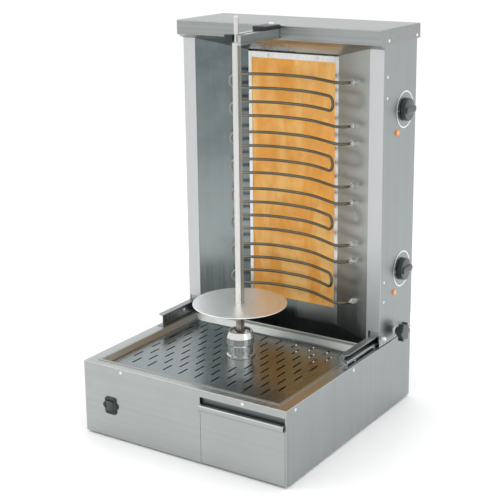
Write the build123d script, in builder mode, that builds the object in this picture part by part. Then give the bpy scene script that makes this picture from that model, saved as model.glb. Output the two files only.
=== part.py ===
"""Counter-top vertical rotisserie oven: a spit turns in front of a sliding electric heating tower.

Units are millimetres.  +X is to the right of someone standing in front, +Y runs to the back and
+Z is up.  The origin is on the floor, under the middle of the base.
"""
import os
from math import atan2, cos, degrees, hypot, radians, sin

from build123d import *

os.makedirs("parts", exist_ok=True)

# ---------------------------------------------------------------- driving sizes
base_width = 580.0
base_depth = 620.0
base_height = 183.0
foot_height = 5.0
tower_depth = 177.0
tower_height = 743.0
sheet = 1.5
liner = 1.0
gap = 0.4
screw_radius = 2.0
screw_head_radius = 4.0
screw_head_height = 1.6
screw_clearance = 0.1

foot_radius = 17.0
foot_inset = 38.0

deck_lip = 14.0
pan_side_border = 32.0
pan_front_border = 25.0
pan_rear_gap = 15.0
pan_depth = 13.0
pan_slope = 20.0
pan_sheet = 1.2
pan_flange = 4.0
pan_lip_height = 7.0
pan_hub_gap = 1.2
deck_rear_strip = 70.0
slot_width = 4.5
slot_length = 37.0
slot_pitch_x = 47.0
slot_pitch_y = 36.1
slot_rows = 9
slot_columns = 9
slot_shift_x = -12.0
slot_shift_y = 12.5

spit_y = -53.0
spit_side = 15.0
spit_length = 751.0
spit_top_pin_radius = 6.0
spit_top_pin_length = 61.0
spit_socket_clearance = 0.1
disc_radius = 117.0
disc_thickness = 2.5
disc_height = 125.0
disc_pin_radius = 2.5
disc_pin_length = 34.0
hub_shoulder_radius = 35.0
hub_neck_radius = 31.5
hub_rim_radius = 30.0
hub_height_over_pan = 66.0
hub_cup_depth = 13.0
shaft_radius = 10.0
running_clearance = 0.05

drawer_left = 57.0
drawer_right_margin = 3.0
drawer_gap = 0.8
drawer_front_height = 148.0
drawer_opening_height = 165.0
drawer_pan_height = 92.0
drawer_pan_length = 430.0
drawer_lip = 9.0
trough_depth = 10.0
trough_drop = 12.0
runner_height = 12.0

switch_x = -209.0
switch_z = 82.0
switch_width = 34.0
switch_height = 44.0
rocker_width = 22.0
rocker_height = 30.0
rocker_gap = 0.5

motor_plate_z = 108.0
motor_plate = 3.0
gearbox_height = 46.0
gearbox_size = 76.0
motor_can_radius = 31.0
motor_can_length = 92.0

rail_inset = 24.0
rail_height = 32.0
rail_flange = 18.0
rail_front = -20.0
rail_sheet = 2.0
rod_radius = 5.0
rail_screw_head = 1.8
tower_travel = 90.0

strip_width = 36.6
notch_height = 43.0
bay_clearance = 8.0
reflector_rear_half = 133.0
reflector_y = 67.0
reflector_top_drop = 30.0
panel_half_width = 123.0
panel_bottom = 59.0
panel_height = 636.0
panel_thickness = 18.0
frame_top_strip = 15.0

element_count = 4
element_pitch = 150.0
pass_pitch = 35.8
tube_radius = 3.75
element_standoff = 15.0
element_straight_half = 60.0
element_slant = 27.0
element_reach = 84.0
element_bend_radius = 190.0
element_centre = 378.0
fitting_along_wall = 0.47
fitting_radius = 8.0

hood_front_overhang = 23.0
hood_back_overhang = 11.0
hood_side_overhang = 3.0
hood_height = 36.0
hood_bevel = 11.0

arm_width = 38.0
arm_height = 24.0
arm_sheet = 2.0
arm_rise = 4.0
arm_rear = 40.0
arm_slot_width = 8.0
jaw_length = 26.0
jaw_left = 30.0
jaw_height = 19.0
guide_block_length = 65.0
guide_block_height = 10.0

control_y = 117.0
control_upper = 586.0
control_lower = 179.0
dial_radius = 47.0
dial_thickness = 0.6
knob_radius = 28.5
knob_height = 18.0
spindle_radius = 3.0
lamp_radius = 7.0
lamp_drop = 52.0
lamp_shift = -40.0

clamp_y = 84.0
clamp_rise = 24.0
clamp_knob_radius = 25.0
clamp_knob_standoff = 17.0
clamp_knob_thickness = 15.0
clamp_block_half = 17.0
clamp_stem_radius = 4.0
bonding_length = 21.0

# ---------------------------------------------------------------- derived places
half_width = base_width / 2
half_depth = base_depth / 2
base_bottom = foot_height
base_top = base_bottom + base_height
deck_under = base_top - sheet
tower_front = half_depth - tower_depth
tower_back = half_depth
tower_floor = base_top + 3
strip_top = base_top + tower_height
hood_bottom = strip_top + hood_bevel
hood_top = hood_bottom + hood_height
tray_floor = base_top - pan_depth
pan_half_width = half_width - pan_side_border
pan_front = -half_depth + pan_front_border
pan_rear = tower_front - pan_rear_gap
slot_centre_y = (pan_front + pan_rear) / 2 + slot_shift_y
hub_bottom = tray_floor - 4
hub_top = tray_floor + hub_height_over_pan
spit_bottom = hub_top - hub_cup_depth - 26
spit_bar_top = spit_bottom + spit_length
disc_top = base_top + disc_height
disc_bottom = disc_top - disc_thickness
wall_inner = half_width - sheet
spit_axis = Plane((0, spit_y, 0))


def rectangle_between(first, second, mode=Mode.ADD):
    """Sketch a rectangle between two opposite corners."""
    with Locations(((first[0] + second[0]) / 2, (first[1] + second[1]) / 2)):
        return Rectangle(abs(second[0] - first[0]), abs(second[1] - first[1]), mode=mode)


def side_plane(x):
    """Plane at x whose local axes are world Y and Z, facing +X."""
    return Plane(origin=(x, 0, 0), x_dir=(0, 1, 0), z_dir=(1, 0, 0))


def front_plane(y):
    """Plane at y whose local axes are world X and Z, facing -Y."""
    return Plane(origin=(0, y, 0), x_dir=(1, 0, 0), z_dir=(0, -1, 0))


def level(z):
    """Horizontal plane at height z."""
    return Plane.XY.offset(z)


# ---------------------------------------------------------------- base casing
front_screws = [(-175.0, base_top - 9), (175.0, base_top - 9)]
side_screws = [(y, base_top - 10) for y in (-half_depth + 39, 0, half_depth - 39)]
drawer_right = half_width - drawer_right_margin

for side, name in ((-1, "base_left_panel"), (1, "base_right_panel")):
    with BuildPart() as base_side:
        with BuildSketch(level(base_bottom)):
            rectangle_between(
                (side * wall_inner, -half_depth + sheet), (side * half_width, half_depth - sheet)
            )
        extrude(amount=base_height - sheet)
        with BuildSketch(level(base_bottom + sheet)):
            rectangle_between(
                (side * (wall_inner - 18), -half_depth + sheet), (side * wall_inner, half_depth - sheet)
            )
        extrude(amount=sheet)
        with BuildSketch(side_plane(side * wall_inner)):
            with Locations(*side_screws):
                Circle(screw_radius + screw_clearance)
        extrude(amount=2 * sheet, both=True, mode=Mode.SUBTRACT)
    base_side.part.label = name
    export_step(base_side.part, f"parts/{name}.step")

inlet_x = -200.0
inlet_z = base_bottom + 55
inlet_radius = 10.0
with BuildPart() as base_back_panel:
    with BuildSketch(front_plane(half_depth)):
        rectangle_between((-half_width, base_bottom), (half_width, deck_under))
        with Locations((inlet_x, inlet_z)):
            Circle(inlet_radius, mode=Mode.SUBTRACT)
        with Locations((0, base_bottom + 55)):
            with GridLocations(14, 0, 9, 1):
                SlotOverall(60, 5, rotation=90, mode=Mode.SUBTRACT)
    extrude(amount=sheet)
    with BuildSketch(level(base_bottom + sheet)):
        rectangle_between((-wall_inner + 20, half_depth - 20), (wall_inner - 20, half_depth - sheet))
    extrude(amount=sheet)
base_back_panel.part.label = "base_back_panel"
export_step(base_back_panel.part, "parts/base_back_panel.step")

with BuildPart() as cable_gland:
    with BuildSketch(front_plane(half_depth + 4)):
        with Locations((inlet_x, inlet_z)):
            RegularPolygon(13, 6)
    extrude(amount=4)
    with BuildSketch(front_plane(half_depth + 16)):
        with Locations((inlet_x, inlet_z)):
            Circle(10.5)
    extrude(amount=12)
    with BuildSketch(front_plane(half_depth)):
        with Locations((inlet_x, inlet_z)):
            Circle(inlet_radius - gap / 2)
    extrude(amount=16)
    with BuildSketch(front_plane(half_depth + 16)):
        with Locations((inlet_x, inlet_z)):
            Circle(4.5)
    extrude(amount=40, mode=Mode.SUBTRACT)
    fillet(cable_gland.faces().sort_by(Axis.Y)[-1].edges(), 1.5)
cable_gland.part.label = "cable_gland"
export_step(cable_gland.part, "parts/cable_gland.step")

with BuildPart() as front_panel:
    with BuildSketch(front_plane(-half_depth + sheet)):
        rectangle_between((-half_width, base_bottom), (half_width, deck_under))
        rectangle_between(
            (drawer_left, base_bottom),
            (drawer_right, base_bottom + drawer_opening_height),
            mode=Mode.SUBTRACT,
        )
        with Locations((switch_x, base_bottom + switch_z)):
            RectangleRounded(switch_width - 6, switch_height - 6, 2, mode=Mode.SUBTRACT)
        with Locations(*front_screws):
            Circle(screw_radius + screw_clearance, mode=Mode.SUBTRACT)
    extrude(amount=sheet)
    with BuildSketch(level(base_bottom + sheet)):
        rectangle_between((-wall_inner + 20, -half_depth + sheet), (drawer_left - 2, -half_depth + 18))
    extrude(amount=sheet)
    fillet(front_panel.edges().filter_by(Axis.Z).group_by(Axis.Y)[0].sort_by(Axis.X)[0], 1.2)
    fillet(front_panel.edges().filter_by(Axis.Z).group_by(Axis.Y)[0].sort_by(Axis.X)[-1], 1.2)
front_panel.part.label = "front_panel"
export_step(front_panel.part, "parts/front_panel.step")

foot_x = half_width - foot_inset
foot_y = half_depth - foot_inset
foot_places = [(-foot_x, -foot_y), (foot_x, -foot_y), (-foot_x, foot_y), (foot_x, foot_y), (0, 0)]
with BuildPart() as base_bottom_plate:
    with BuildSketch(level(base_bottom)):
        rectangle_between((-wall_inner, -half_depth + sheet), (wall_inner, half_depth - sheet))
        with Locations(*foot_places):
            Circle(3.1, mode=Mode.SUBTRACT)
    extrude(amount=sheet)
base_bottom_plate.part.label = "base_bottom_plate"
export_step(base_bottom_plate.part, "parts/base_bottom_plate.step")

with BuildPart() as feet:
    with BuildSketch(level(0)):
        with Locations(*foot_places):
            Circle(foot_radius)
    extrude(amount=foot_height)
    chamfer(feet.faces().sort_by(Axis.Z)[0:4].edges(), 1)
    with BuildSketch(level(foot_height)):
        with Locations(*foot_places):
            Circle(3)
    extrude(amount=sheet + 0.2)
feet.part.label = "feet"
export_step(feet.part, "parts/feet.step")

# ---------------------------------------------------------------- deck, rails and tray
rail_x = half_width - rail_inset
rail_outer = rail_x + rail_flange
rail_back = half_depth - 6
rail_top = base_top + rail_height
rail_screws = [(side * (rail_x + rail_flange / 2 + 1), y) for side in (-1, 1) for y in (30, 130, 230)]
lip_outer = wall_inner - gap / 2
with BuildPart() as top_deck:
    with BuildSketch(level(deck_under)):
        rectangle_between((-half_width, -half_depth), (half_width, half_depth))
    extrude(amount=sheet)
    fillet(top_deck.faces().sort_by(Axis.Z)[-1].edges(), sheet * 0.8)
    with BuildSketch(level(deck_under - deck_lip)):
        rectangle_between((-lip_outer, -half_depth + sheet), (lip_outer, half_depth - sheet - gap))
        rectangle_between(
            (-lip_outer + sheet, -half_depth + 2 * sheet),
            (lip_outer - sheet, half_depth - 2 * sheet - gap),
            mode=Mode.SUBTRACT,
        )
    extrude(amount=deck_lip)
    with BuildSketch(level(base_top)):
        rectangle_between((-pan_half_width, pan_front), (pan_half_width, pan_rear))
    extrude(amount=-sheet, mode=Mode.SUBTRACT)
    with BuildSketch(level(base_top)):
        rectangle_between(
            (-pan_half_width, pan_rear + pan_flange + 1), (pan_half_width, half_depth - deck_rear_strip)
        )
        with Locations((0, half_depth - 45)):
            SlotOverall(120, 30)
    extrude(amount=-sheet, mode=Mode.SUBTRACT)
    with BuildSketch(level(base_top)):
        with Locations(*rail_screws):
            Circle(screw_radius + screw_clearance)
    extrude(amount=-sheet, mode=Mode.SUBTRACT)
    with BuildSketch(front_plane(-half_depth)):
        with Locations(*front_screws):
            Circle(screw_radius + screw_clearance)
    extrude(amount=-4 * sheet, mode=Mode.SUBTRACT)
    for side in (-1, 1):
        with BuildSketch(side_plane(side * wall_inner)):
            with Locations(*side_screws):
                Circle(screw_radius + screw_clearance)
        extrude(amount=2 * sheet, both=True, mode=Mode.SUBTRACT)
top_deck.part.label = "top_deck"
export_step(top_deck.part, "parts/top_deck.step")

rod_x = rail_x + rail_sheet + rod_radius + 4
rod_z = base_top + rail_sheet + rod_radius + 3
end_plate = 3.0
for side, name in ((-1, "rail_left"), (1, "rail_right")):
    with BuildPart() as rail:
        with BuildSketch(Plane(origin=(0, rail_front, 0), x_dir=(1, 0, 0), z_dir=(0, -1, 0))):
            rectangle_between((side * rail_x, base_top), (side * (rail_x + rail_sheet), rail_top))
            rectangle_between((side * rail_x, base_top), (side * rail_outer, base_top + rail_sheet))
            rectangle_between((side * rail_x, rail_top - rail_sheet), (side * rail_outer, rail_top))
        extrude(amount=-(rail_back - rail_front))
        with BuildSketch(level(base_top)):
            with Locations(*[place for place in rail_screws if place[0] * side > 0]):
                Circle(screw_radius + screw_clearance)
        extrude(amount=rail_sheet, mode=Mode.SUBTRACT)
        with BuildSketch(level(rail_top)):
            with BuildLine():
                Polyline(
                    (side * rail_outer, rail_front),
                    (side * (rail_outer - 7), rail_front),
                    (side * rail_outer, rail_front + 7),
                    close=True,
                )
            make_face()
        extrude(amount=-rail_sheet, mode=Mode.SUBTRACT)
        if side > 0:
            with BuildSketch(front_plane(rail_front)):
                rectangle_between((rail_x - 3, base_top), (rail_x + 9, rail_top - 4))
                rectangle_between((rail_x - 3, base_top), (rail_outer, rod_z + rod_radius + 5))
                with Locations((rod_x, rod_z)):
                    Circle(rod_radius + running_clearance, mode=Mode.SUBTRACT)
            extrude(amount=end_plate)
    rail.part.label = name
    export_step(rail.part, f"parts/{name}.step")

rail_rivet = (rail_front + 94.0, base_top + rail_height * 0.62)
with BuildPart() as base_fasteners:
    with BuildSketch(front_plane(-half_depth)):
        with Locations(*front_screws):
            Circle(screw_head_radius)
    extrude(amount=screw_head_height, taper=30)
    with BuildSketch(front_plane(-half_depth)):
        with Locations(*front_screws):
            Circle(screw_radius)
    extrude(amount=-3.5 * sheet)
    for side in (-1, 1):
        outward = Plane(origin=(side * half_width, 0, 0), x_dir=(0, side, 0), z_dir=(side, 0, 0))
        with BuildSketch(outward):
            with Locations(*[(side * y, z) for y, z in side_screws]):
                Circle(screw_head_radius)
        extrude(amount=screw_head_height, taper=30)
        with BuildSketch(outward):
            with Locations(*[(side * y, z) for y, z in side_screws]):
                Circle(screw_radius)
        extrude(amount=-3.5 * sheet)
    with BuildSketch(level(base_top + rail_sheet)):
        with Locations(*rail_screws):
            RegularPolygon(3.6, 6)
    extrude(amount=rail_screw_head)
    with BuildSketch(level(base_top + rail_sheet)):
        with Locations(*rail_screws):
            Circle(screw_radius)
    extrude(amount=-rail_sheet - sheet - 2)
    for side in (-1, 1):
        inward = Plane(origin=(side * rail_x, 0, 0), x_dir=(0, -side, 0), z_dir=(-side, 0, 0))
        with BuildSketch(inward):
            with Locations((-side * rail_rivet[0], rail_rivet[1])):
                Circle(screw_head_radius)
        extrude(amount=screw_head_height, taper=30)
base_fasteners.part.label = "base_fasteners"
export_step(base_fasteners.part, "parts/base_fasteners.step")

with BuildPart() as guide_rod:
    with BuildSketch(front_plane(rail_front - 4)):
        with Locations((rod_x, rod_z)):
            Circle(rod_radius)
    extrude(amount=-(rail_back - 20 - rail_front))
    with BuildSketch(front_plane(rail_front - 4)):
        with Locations((rod_x, rod_z)):
            RegularPolygon(rod_radius + 2, 6)
    extrude(amount=5)
    fillet(guide_rod.faces().sort_by(Axis.Y)[0].edges(), 1)
guide_rod.part.label = "guide_rod"
export_step(guide_rod.part, "parts/guide_rod.step")

# slots stand in staggered rows, each row half a pitch across from the last
slot_places = []
for row in range(slot_rows):
    row_y = slot_centre_y + (row - (slot_rows - 1) / 2) * slot_pitch_y
    odd_row = row % 2
    for column in range(slot_columns + odd_row):
        slot_x = slot_shift_x + (column - (slot_columns - 1 + odd_row) / 2) * slot_pitch_x
        clear_of_hub = hypot(slot_x, row_y - spit_y) > hub_shoulder_radius + slot_length * 0.62
        inside = abs(slot_x) < pan_half_width - pan_slope - slot_width
        if clear_of_hub and inside:
            slot_places.append((slot_x, row_y))

pan_taper = degrees(atan2(pan_slope - 8, pan_depth))
pan_clearance = 1.0
pan_wall = pan_clearance + pan_sheet * 1.6
pan_lip_half = half_width - strip_width - 10
with BuildPart() as drip_tray:
    with BuildSketch(level(base_top)):
        rectangle_between(
            (-pan_half_width - pan_flange, pan_front - pan_flange),
            (pan_half_width + pan_flange, pan_rear + pan_flange),
        )
    extrude(amount=pan_sheet)
    with BuildSketch(level(base_top)):
        rectangle_between(
            (-pan_half_width + pan_clearance, pan_front + pan_clearance),
            (pan_half_width - pan_clearance, pan_rear - pan_clearance),
        )
    extrude(amount=-pan_depth - pan_sheet, taper=pan_taper)
    with BuildSketch(level(base_top + pan_sheet)):
        rectangle_between(
            (-pan_half_width + pan_wall, pan_front + pan_wall), (pan_half_width - pan_wall, pan_rear - pan_wall)
        )
    extrude(amount=-pan_depth - pan_sheet, taper=pan_taper, mode=Mode.SUBTRACT)
    with BuildSketch(level(base_top + pan_sheet)):
        rectangle_between((-pan_lip_half, pan_rear + 1), (pan_lip_half, pan_rear + 5))
    extrude(amount=pan_lip_height)
    fillet(drip_tray.faces().sort_by(Axis.Z)[-1].edges().filter_by(Axis.X), 1.9)
    with BuildSketch(level(tray_floor + 1)):
        with Locations((0, spit_y)):
            Circle(hub_shoulder_radius + pan_hub_gap)
        with Locations(*slot_places):
            SlotOverall(slot_length, slot_width, rotation=90)
    extrude(amount=-2 - pan_sheet, mode=Mode.SUBTRACT)
drip_tray.part.label = "drip_tray"
export_step(drip_tray.part, "parts/drip_tray.step")

# ---------------------------------------------------------------- grease funnel and drawer
funnel_top = tray_floor - pan_sheet - 3
funnel_left_z = funnel_top - 8
funnel_right_z = funnel_top - 28
funnel_mouth = drawer_left + 30
funnel_half = pan_half_width - pan_slope - 2
shaft_collar = shaft_radius + 6
with BuildPart() as grease_funnel:
    with BuildSketch(front_plane(pan_front + pan_slope + 4)):
        with BuildLine():
            Polyline(
                (-funnel_half, funnel_top),
                (-funnel_half, funnel_left_z),
                (funnel_mouth, funnel_right_z),
                (funnel_mouth, funnel_right_z - 12),
                (funnel_mouth + liner, funnel_right_z - 12),
                (funnel_mouth + liner, funnel_right_z + liner),
                (-funnel_half + liner, funnel_left_z + liner),
                (-funnel_half + liner, funnel_top),
                close=True,
            )
        make_face()
    extrude(amount=-(pan_rear - pan_front - 2 * pan_slope - 8))
    with BuildSketch(level(funnel_right_z - 12)):
        with Locations((0, spit_y)):
            Circle(shaft_collar + 1)
    extrude(amount=17)
    with BuildSketch(level(funnel_right_z - 13)):
        with Locations((0, spit_y)):
            Circle(shaft_collar)
    extrude(amount=60, mode=Mode.SUBTRACT)
grease_funnel.part.label = "grease_funnel"
export_step(grease_funnel.part, "parts/grease_funnel.step")

drawer_width = drawer_right - drawer_left - 2 * drawer_gap
drawer_floor = base_bottom + 2 * sheet + runner_height
pan_x0 = drawer_left + 7
pan_x1 = drawer_right - 7
drawer_back = -half_depth + sheet + drawer_pan_length
with BuildPart() as grease_drawer:
    with BuildSketch(level(drawer_floor)):
        rectangle_between((pan_x0, -half_depth + sheet), (pan_x1, drawer_back))
    extrude(amount=drawer_pan_height)
    fillet(grease_drawer.edges().filter_by(Axis.Z), 6)
    with BuildSketch(level(drawer_floor + sheet)):
        rectangle_between((pan_x0 + sheet, -half_depth + 2 * sheet), (pan_x1 - sheet, drawer_back - sheet))
    extrude(amount=drawer_pan_height, mode=Mode.SUBTRACT)
grease_drawer.part.label = "grease_drawer"
export_step(grease_drawer.part, "parts/grease_drawer.step")

drawer_front_top = base_bottom + drawer_front_height
lip_profile_radius = drawer_lip / 2
with BuildPart() as drawer_front:
    with BuildSketch(front_plane(-half_depth + sheet)):
        rectangle_between(
            (drawer_left + drawer_gap, base_bottom + 1), (drawer_right - drawer_gap, drawer_front_top)
        )
    extrude(amount=sheet)
    with BuildSketch(side_plane(drawer_left + drawer_gap)):
        with Locations((-half_depth - lip_profile_radius, drawer_front_top - lip_profile_radius - 3)):
            SlotOverall(drawer_lip + 6, drawer_lip, rotation=90)
            SlotOverall(drawer_lip + 6 - 2 * sheet, drawer_lip - 2 * sheet, rotation=90, mode=Mode.SUBTRACT)
    extrude(amount=drawer_width)
    with BuildSketch(side_plane(drawer_left + drawer_gap)):
        rectangle_between(
            (-half_depth + sheet, drawer_front_top - trough_drop),
            (-half_depth + trough_depth, drawer_front_top - trough_drop + sheet),
        )
        rectangle_between(
            (-half_depth + trough_depth - sheet, drawer_front_top - trough_drop),
            (-half_depth + trough_depth, base_bottom + drawer_opening_height - 1),
        )
    extrude(amount=drawer_width)
drawer_front.part.label = "drawer_front"
export_step(drawer_front.part, "parts/drawer_front.step")

with BuildPart() as drawer_runners:
    for x, toward, seat in ((pan_x0 - 4, 1, base_bottom + sheet), (pan_x1 + 4, -1, base_bottom + 2 * sheet)):
        runner_top = drawer_floor - gap / 2
        with BuildSketch(front_plane(-half_depth + 22)):
            rectangle_between((x - toward * sheet, seat), (x, runner_top + 6))
            rectangle_between((x - toward * sheet, runner_top - sheet), (x + toward * 14, runner_top))
            rectangle_between((x - toward * sheet, seat), (x + toward * 14, seat + sheet))
        extrude(amount=-(drawer_back - 10 + half_depth - 22))
drawer_runners.part.label = "drawer_runners"
export_step(drawer_runners.part, "parts/drawer_runners.step")

# ---------------------------------------------------------------- spit drive
gearbox_top = motor_plate_z
bracket_half = gearbox_size / 2 + 20
bracket_width = gearbox_size + 8
with BuildPart() as motor_bracket:
    with BuildSketch(side_plane(-bracket_width / 2)):
        rectangle_between(
            (spit_y - bracket_half, motor_plate_z), (spit_y + bracket_half, motor_plate_z + motor_plate)
        )
        for end in (-1, 1):
            rectangle_between(
                (spit_y + end * bracket_half, base_bottom + sheet),
                (spit_y + end * (bracket_half + motor_plate), motor_plate_z + motor_plate),
            )
            rectangle_between(
                (spit_y + end * bracket_half, base_bottom + sheet),
                (spit_y + end * (bracket_half + 20), base_bottom + sheet + motor_plate),
            )
    extrude(amount=bracket_width)
    with BuildSketch(spit_axis.offset(motor_plate_z)):
        Circle(shaft_radius + 2)
    extrude(amount=motor_plate, mode=Mode.SUBTRACT)
motor_bracket.part.label = "motor_bracket"
export_step(motor_bracket.part, "parts/motor_bracket.step")

shaft_bottom = gearbox_top - 18
with BuildPart() as gearbox:
    with BuildSketch(spit_axis.offset(gearbox_top - gearbox_height)):
        RectangleRounded(gearbox_size, gearbox_size, 6)
    extrude(amount=gearbox_height)
    with BuildSketch(spit_axis.offset(gearbox_top)):
        Circle(shaft_radius + running_clearance)
    extrude(amount=-20, mode=Mode.SUBTRACT)
    chamfer(gearbox.faces().sort_by(Axis.Z)[0].edges(), 2)
gearbox.part.label = "gearbox"
export_step(gearbox.part, "parts/gearbox.step")

can_z = gearbox_top - gearbox_height / 2 - 10
motor_plane = Plane(origin=(-gearbox_size / 2, spit_y, can_z), x_dir=(0, 1, 0), z_dir=(-1, 0, 0))
with BuildPart() as drive_motor:
    with BuildSketch(motor_plane):
        Circle(motor_can_radius)
    extrude(amount=motor_can_length)
    fillet(drive_motor.faces().sort_by(Axis.X)[0].edges(), 4)
    with BuildSketch(motor_plane.offset(motor_can_length)):
        Circle(9)
    extrude(amount=5)
drive_motor.part.label = "drive_motor"
export_step(drive_motor.part, "parts/drive_motor.step")

bearing_bottom = motor_plate_z + motor_plate
with BuildPart() as shaft_bearing:
    with BuildSketch(spit_axis.offset(bearing_bottom)):
        RectangleRounded(56, 56, 10)
    extrude(amount=5)
    with BuildSketch(spit_axis.offset(bearing_bottom + 5)):
        Circle(shaft_radius + 4)
    extrude(amount=8)
    with BuildSketch(spit_axis.offset(bearing_bottom)):
        Circle(shaft_radius + running_clearance)
    extrude(amount=13, mode=Mode.SUBTRACT)
shaft_bearing.part.label = "shaft_bearing"
export_step(shaft_bearing.part, "parts/shaft_bearing.step")

shaft_top = hub_bottom + 14
with BuildPart() as drive_shaft:
    with BuildSketch(spit_axis.offset(shaft_bottom)):
        Circle(shaft_radius)
    extrude(amount=shaft_top - shaft_bottom)
    chamfer(drive_shaft.edges().filter_by(GeomType.CIRCLE), 0.8)
drive_shaft.part.label = "drive_shaft"
export_step(drive_shaft.part, "parts/drive_shaft.step")

cup_floor = hub_top - hub_cup_depth
socket = spit_side + 2 * spit_socket_clearance
with BuildPart() as spit_hub:
    with BuildSketch(Plane(origin=(0, spit_y, 0), x_dir=(1, 0, 0), z_dir=(0, -1, 0))):
        with BuildLine():
            Polyline(
                (0, hub_bottom),
                (hub_shoulder_radius, hub_bottom),
                (hub_shoulder_radius, tray_floor + 5),
                (hub_neck_radius, tray_floor + 7),
                (hub_neck_radius, tray_floor + 30),
                (hub_shoulder_radius, tray_floor + 35),
                (hub_shoulder_radius, hub_top - 15),
                (hub_rim_radius, hub_top),
                (hub_rim_radius - 5, hub_top),
                (hub_rim_radius - 6, cup_floor),
                (0, cup_floor),
                close=True,
            )
        make_face()
    revolve(axis=Axis((0, spit_y, 0), (0, 0, 1)))
    with BuildSketch(spit_axis.offset(cup_floor)):
        Rectangle(socket, socket)
    extrude(amount=-(cup_floor - spit_bottom + spit_socket_clearance), mode=Mode.SUBTRACT)
    with BuildSketch(spit_axis.offset(hub_bottom)):
        Circle(shaft_radius)
    extrude(amount=shaft_top - hub_bottom, mode=Mode.SUBTRACT)
    with BuildSketch(spit_axis.offset(hub_top)):
        with Locations((hub_rim_radius, 0)):
            Rectangle(24, 8)
    extrude(amount=-8, mode=Mode.SUBTRACT)
spit_hub.part.label = "spit_hub"
export_step(spit_hub.part, "parts/spit_hub.step")

hub_bolt_places = PolarLocations((hub_rim_radius - 6 + spit_side / 2) / 2 + 1.6, 2, start_angle=35)
with BuildPart() as hub_bolts:
    with BuildSketch(spit_axis.offset(cup_floor)):
        with hub_bolt_places:
            RegularPolygon(4.6, 6)
    extrude(amount=5)
    chamfer(hub_bolts.faces().group_by(Axis.Z)[-1].edges(), 0.6)
hub_bolts.part.label = "hub_bolts"
export_step(hub_bolts.part, "parts/hub_bolts.step")

disc_pin_z = disc_bottom - disc_pin_radius
pin_hole_levels = [disc_pin_z, disc_pin_z - 48]
with BuildPart() as spit_bar:
    with BuildSketch(spit_axis.offset(spit_bottom)):
        Rectangle(spit_side, spit_side)
    extrude(amount=spit_length)
    chamfer(spit_bar.faces().sort_by(Axis.Z)[0].edges(), 1.5)
    chamfer(spit_bar.faces().sort_by(Axis.Z)[-1].edges(), 1.4)
    with BuildSketch(spit_axis.offset(spit_bar_top)):
        Circle(spit_top_pin_radius)
    extrude(amount=spit_top_pin_length)
    fillet(spit_bar.faces().sort_by(Axis.Z)[-1].edges(), spit_top_pin_radius * 0.6)
    with BuildSketch(side_plane(0)):
        with Locations(*[(spit_y, z) for z in pin_hole_levels]):
            Circle(disc_pin_radius)
    extrude(amount=spit_side, both=True, mode=Mode.SUBTRACT)
spit_bar.part.label = "spit_bar"
export_step(spit_bar.part, "parts/spit_bar.step")

with BuildPart() as disc_pin:
    with BuildSketch(side_plane(-disc_pin_length / 2)):
        with Locations((spit_y, disc_pin_z)):
            Circle(disc_pin_radius)
    extrude(amount=disc_pin_length)
    chamfer(disc_pin.edges().filter_by(GeomType.CIRCLE), 0.6)
disc_pin.part.label = "disc_pin"
export_step(disc_pin.part, "parts/disc_pin.step")

with BuildPart() as meat_disc:
    with BuildSketch(spit_axis.offset(disc_bottom)):
        Circle(disc_radius)
        Rectangle(spit_side + 0.5, spit_side + 0.5, mode=Mode.SUBTRACT)
    extrude(amount=disc_thickness)
    fillet(meat_disc.edges().filter_by(GeomType.CIRCLE), disc_thickness * 0.4)
meat_disc.part.label = "meat_disc"
export_step(meat_disc.part, "parts/meat_disc.step")

# ---------------------------------------------------------------- switch
switch_centre = (switch_x, base_bottom + switch_z)
rocker_pivot = (-half_depth + 1, base_bottom + switch_z)
pivot_radius = 1.8
with BuildPart() as switch_bezel:
    with BuildSketch(front_plane(-half_depth)):
        with Locations(switch_centre):
            RectangleRounded(switch_width, switch_height, 7)
            Ellipse(switch_width * 0.68, switch_height * 0.3)
    extrude(amount=4.5)
    chamfer(switch_bezel.faces().sort_by(Axis.Y)[0].edges(), 2)
    with BuildSketch(front_plane(-half_depth)):
        with Locations(switch_centre):
            RectangleRounded(switch_width - 6 - gap, switch_height - 6 - gap, 2)
    extrude(amount=-18)
    with BuildSketch(front_plane(-half_depth - 6)):
        with Locations(switch_centre):
            Rectangle(rocker_width, rocker_height)
    extrude(amount=-18, mode=Mode.SUBTRACT)
    with BuildSketch(side_plane(switch_x)):
        with Locations(rocker_pivot):
            Circle(pivot_radius + running_clearance)
    extrude(amount=rocker_width / 2 + 2, both=True, mode=Mode.SUBTRACT)
switch_bezel.part.label = "switch_bezel"
export_step(switch_bezel.part, "parts/switch_bezel.step")

rocker_reach = 7.0
with BuildPart() as switch_rocker:
    with BuildSketch(side_plane(switch_x - rocker_width / 2 + rocker_gap)):
        with BuildLine():
            swing = rocker_height / 2 - 1.6
            front_y = -half_depth - rocker_reach
            Polyline(
                (front_y + 0.6, switch_centre[1] + swing),
                (-half_depth + 4, switch_centre[1] + swing - 3),
                (-half_depth + 4, switch_centre[1] - swing + 3),
                (front_y + 0.6, switch_centre[1] - swing),
            )
            ThreePointArc(
                (front_y + 0.6, switch_centre[1] - swing),
                (front_y + 2.4, switch_centre[1]),
                (front_y + 0.6, switch_centre[1] + swing),
            )
        make_face()
    extrude(amount=rocker_width - 2 * rocker_gap)
    fillet(switch_rocker.edges().filter_by(Axis.X).group_by(Axis.Y)[0], 0.8)
    with BuildSketch(side_plane(switch_x)):
        with Locations(rocker_pivot):
            Circle(pivot_radius)
    extrude(amount=rocker_width / 2 + 1.5, both=True)
switch_rocker.part.label = "switch_rocker"
export_step(switch_rocker.part, "parts/switch_rocker.step")

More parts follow.
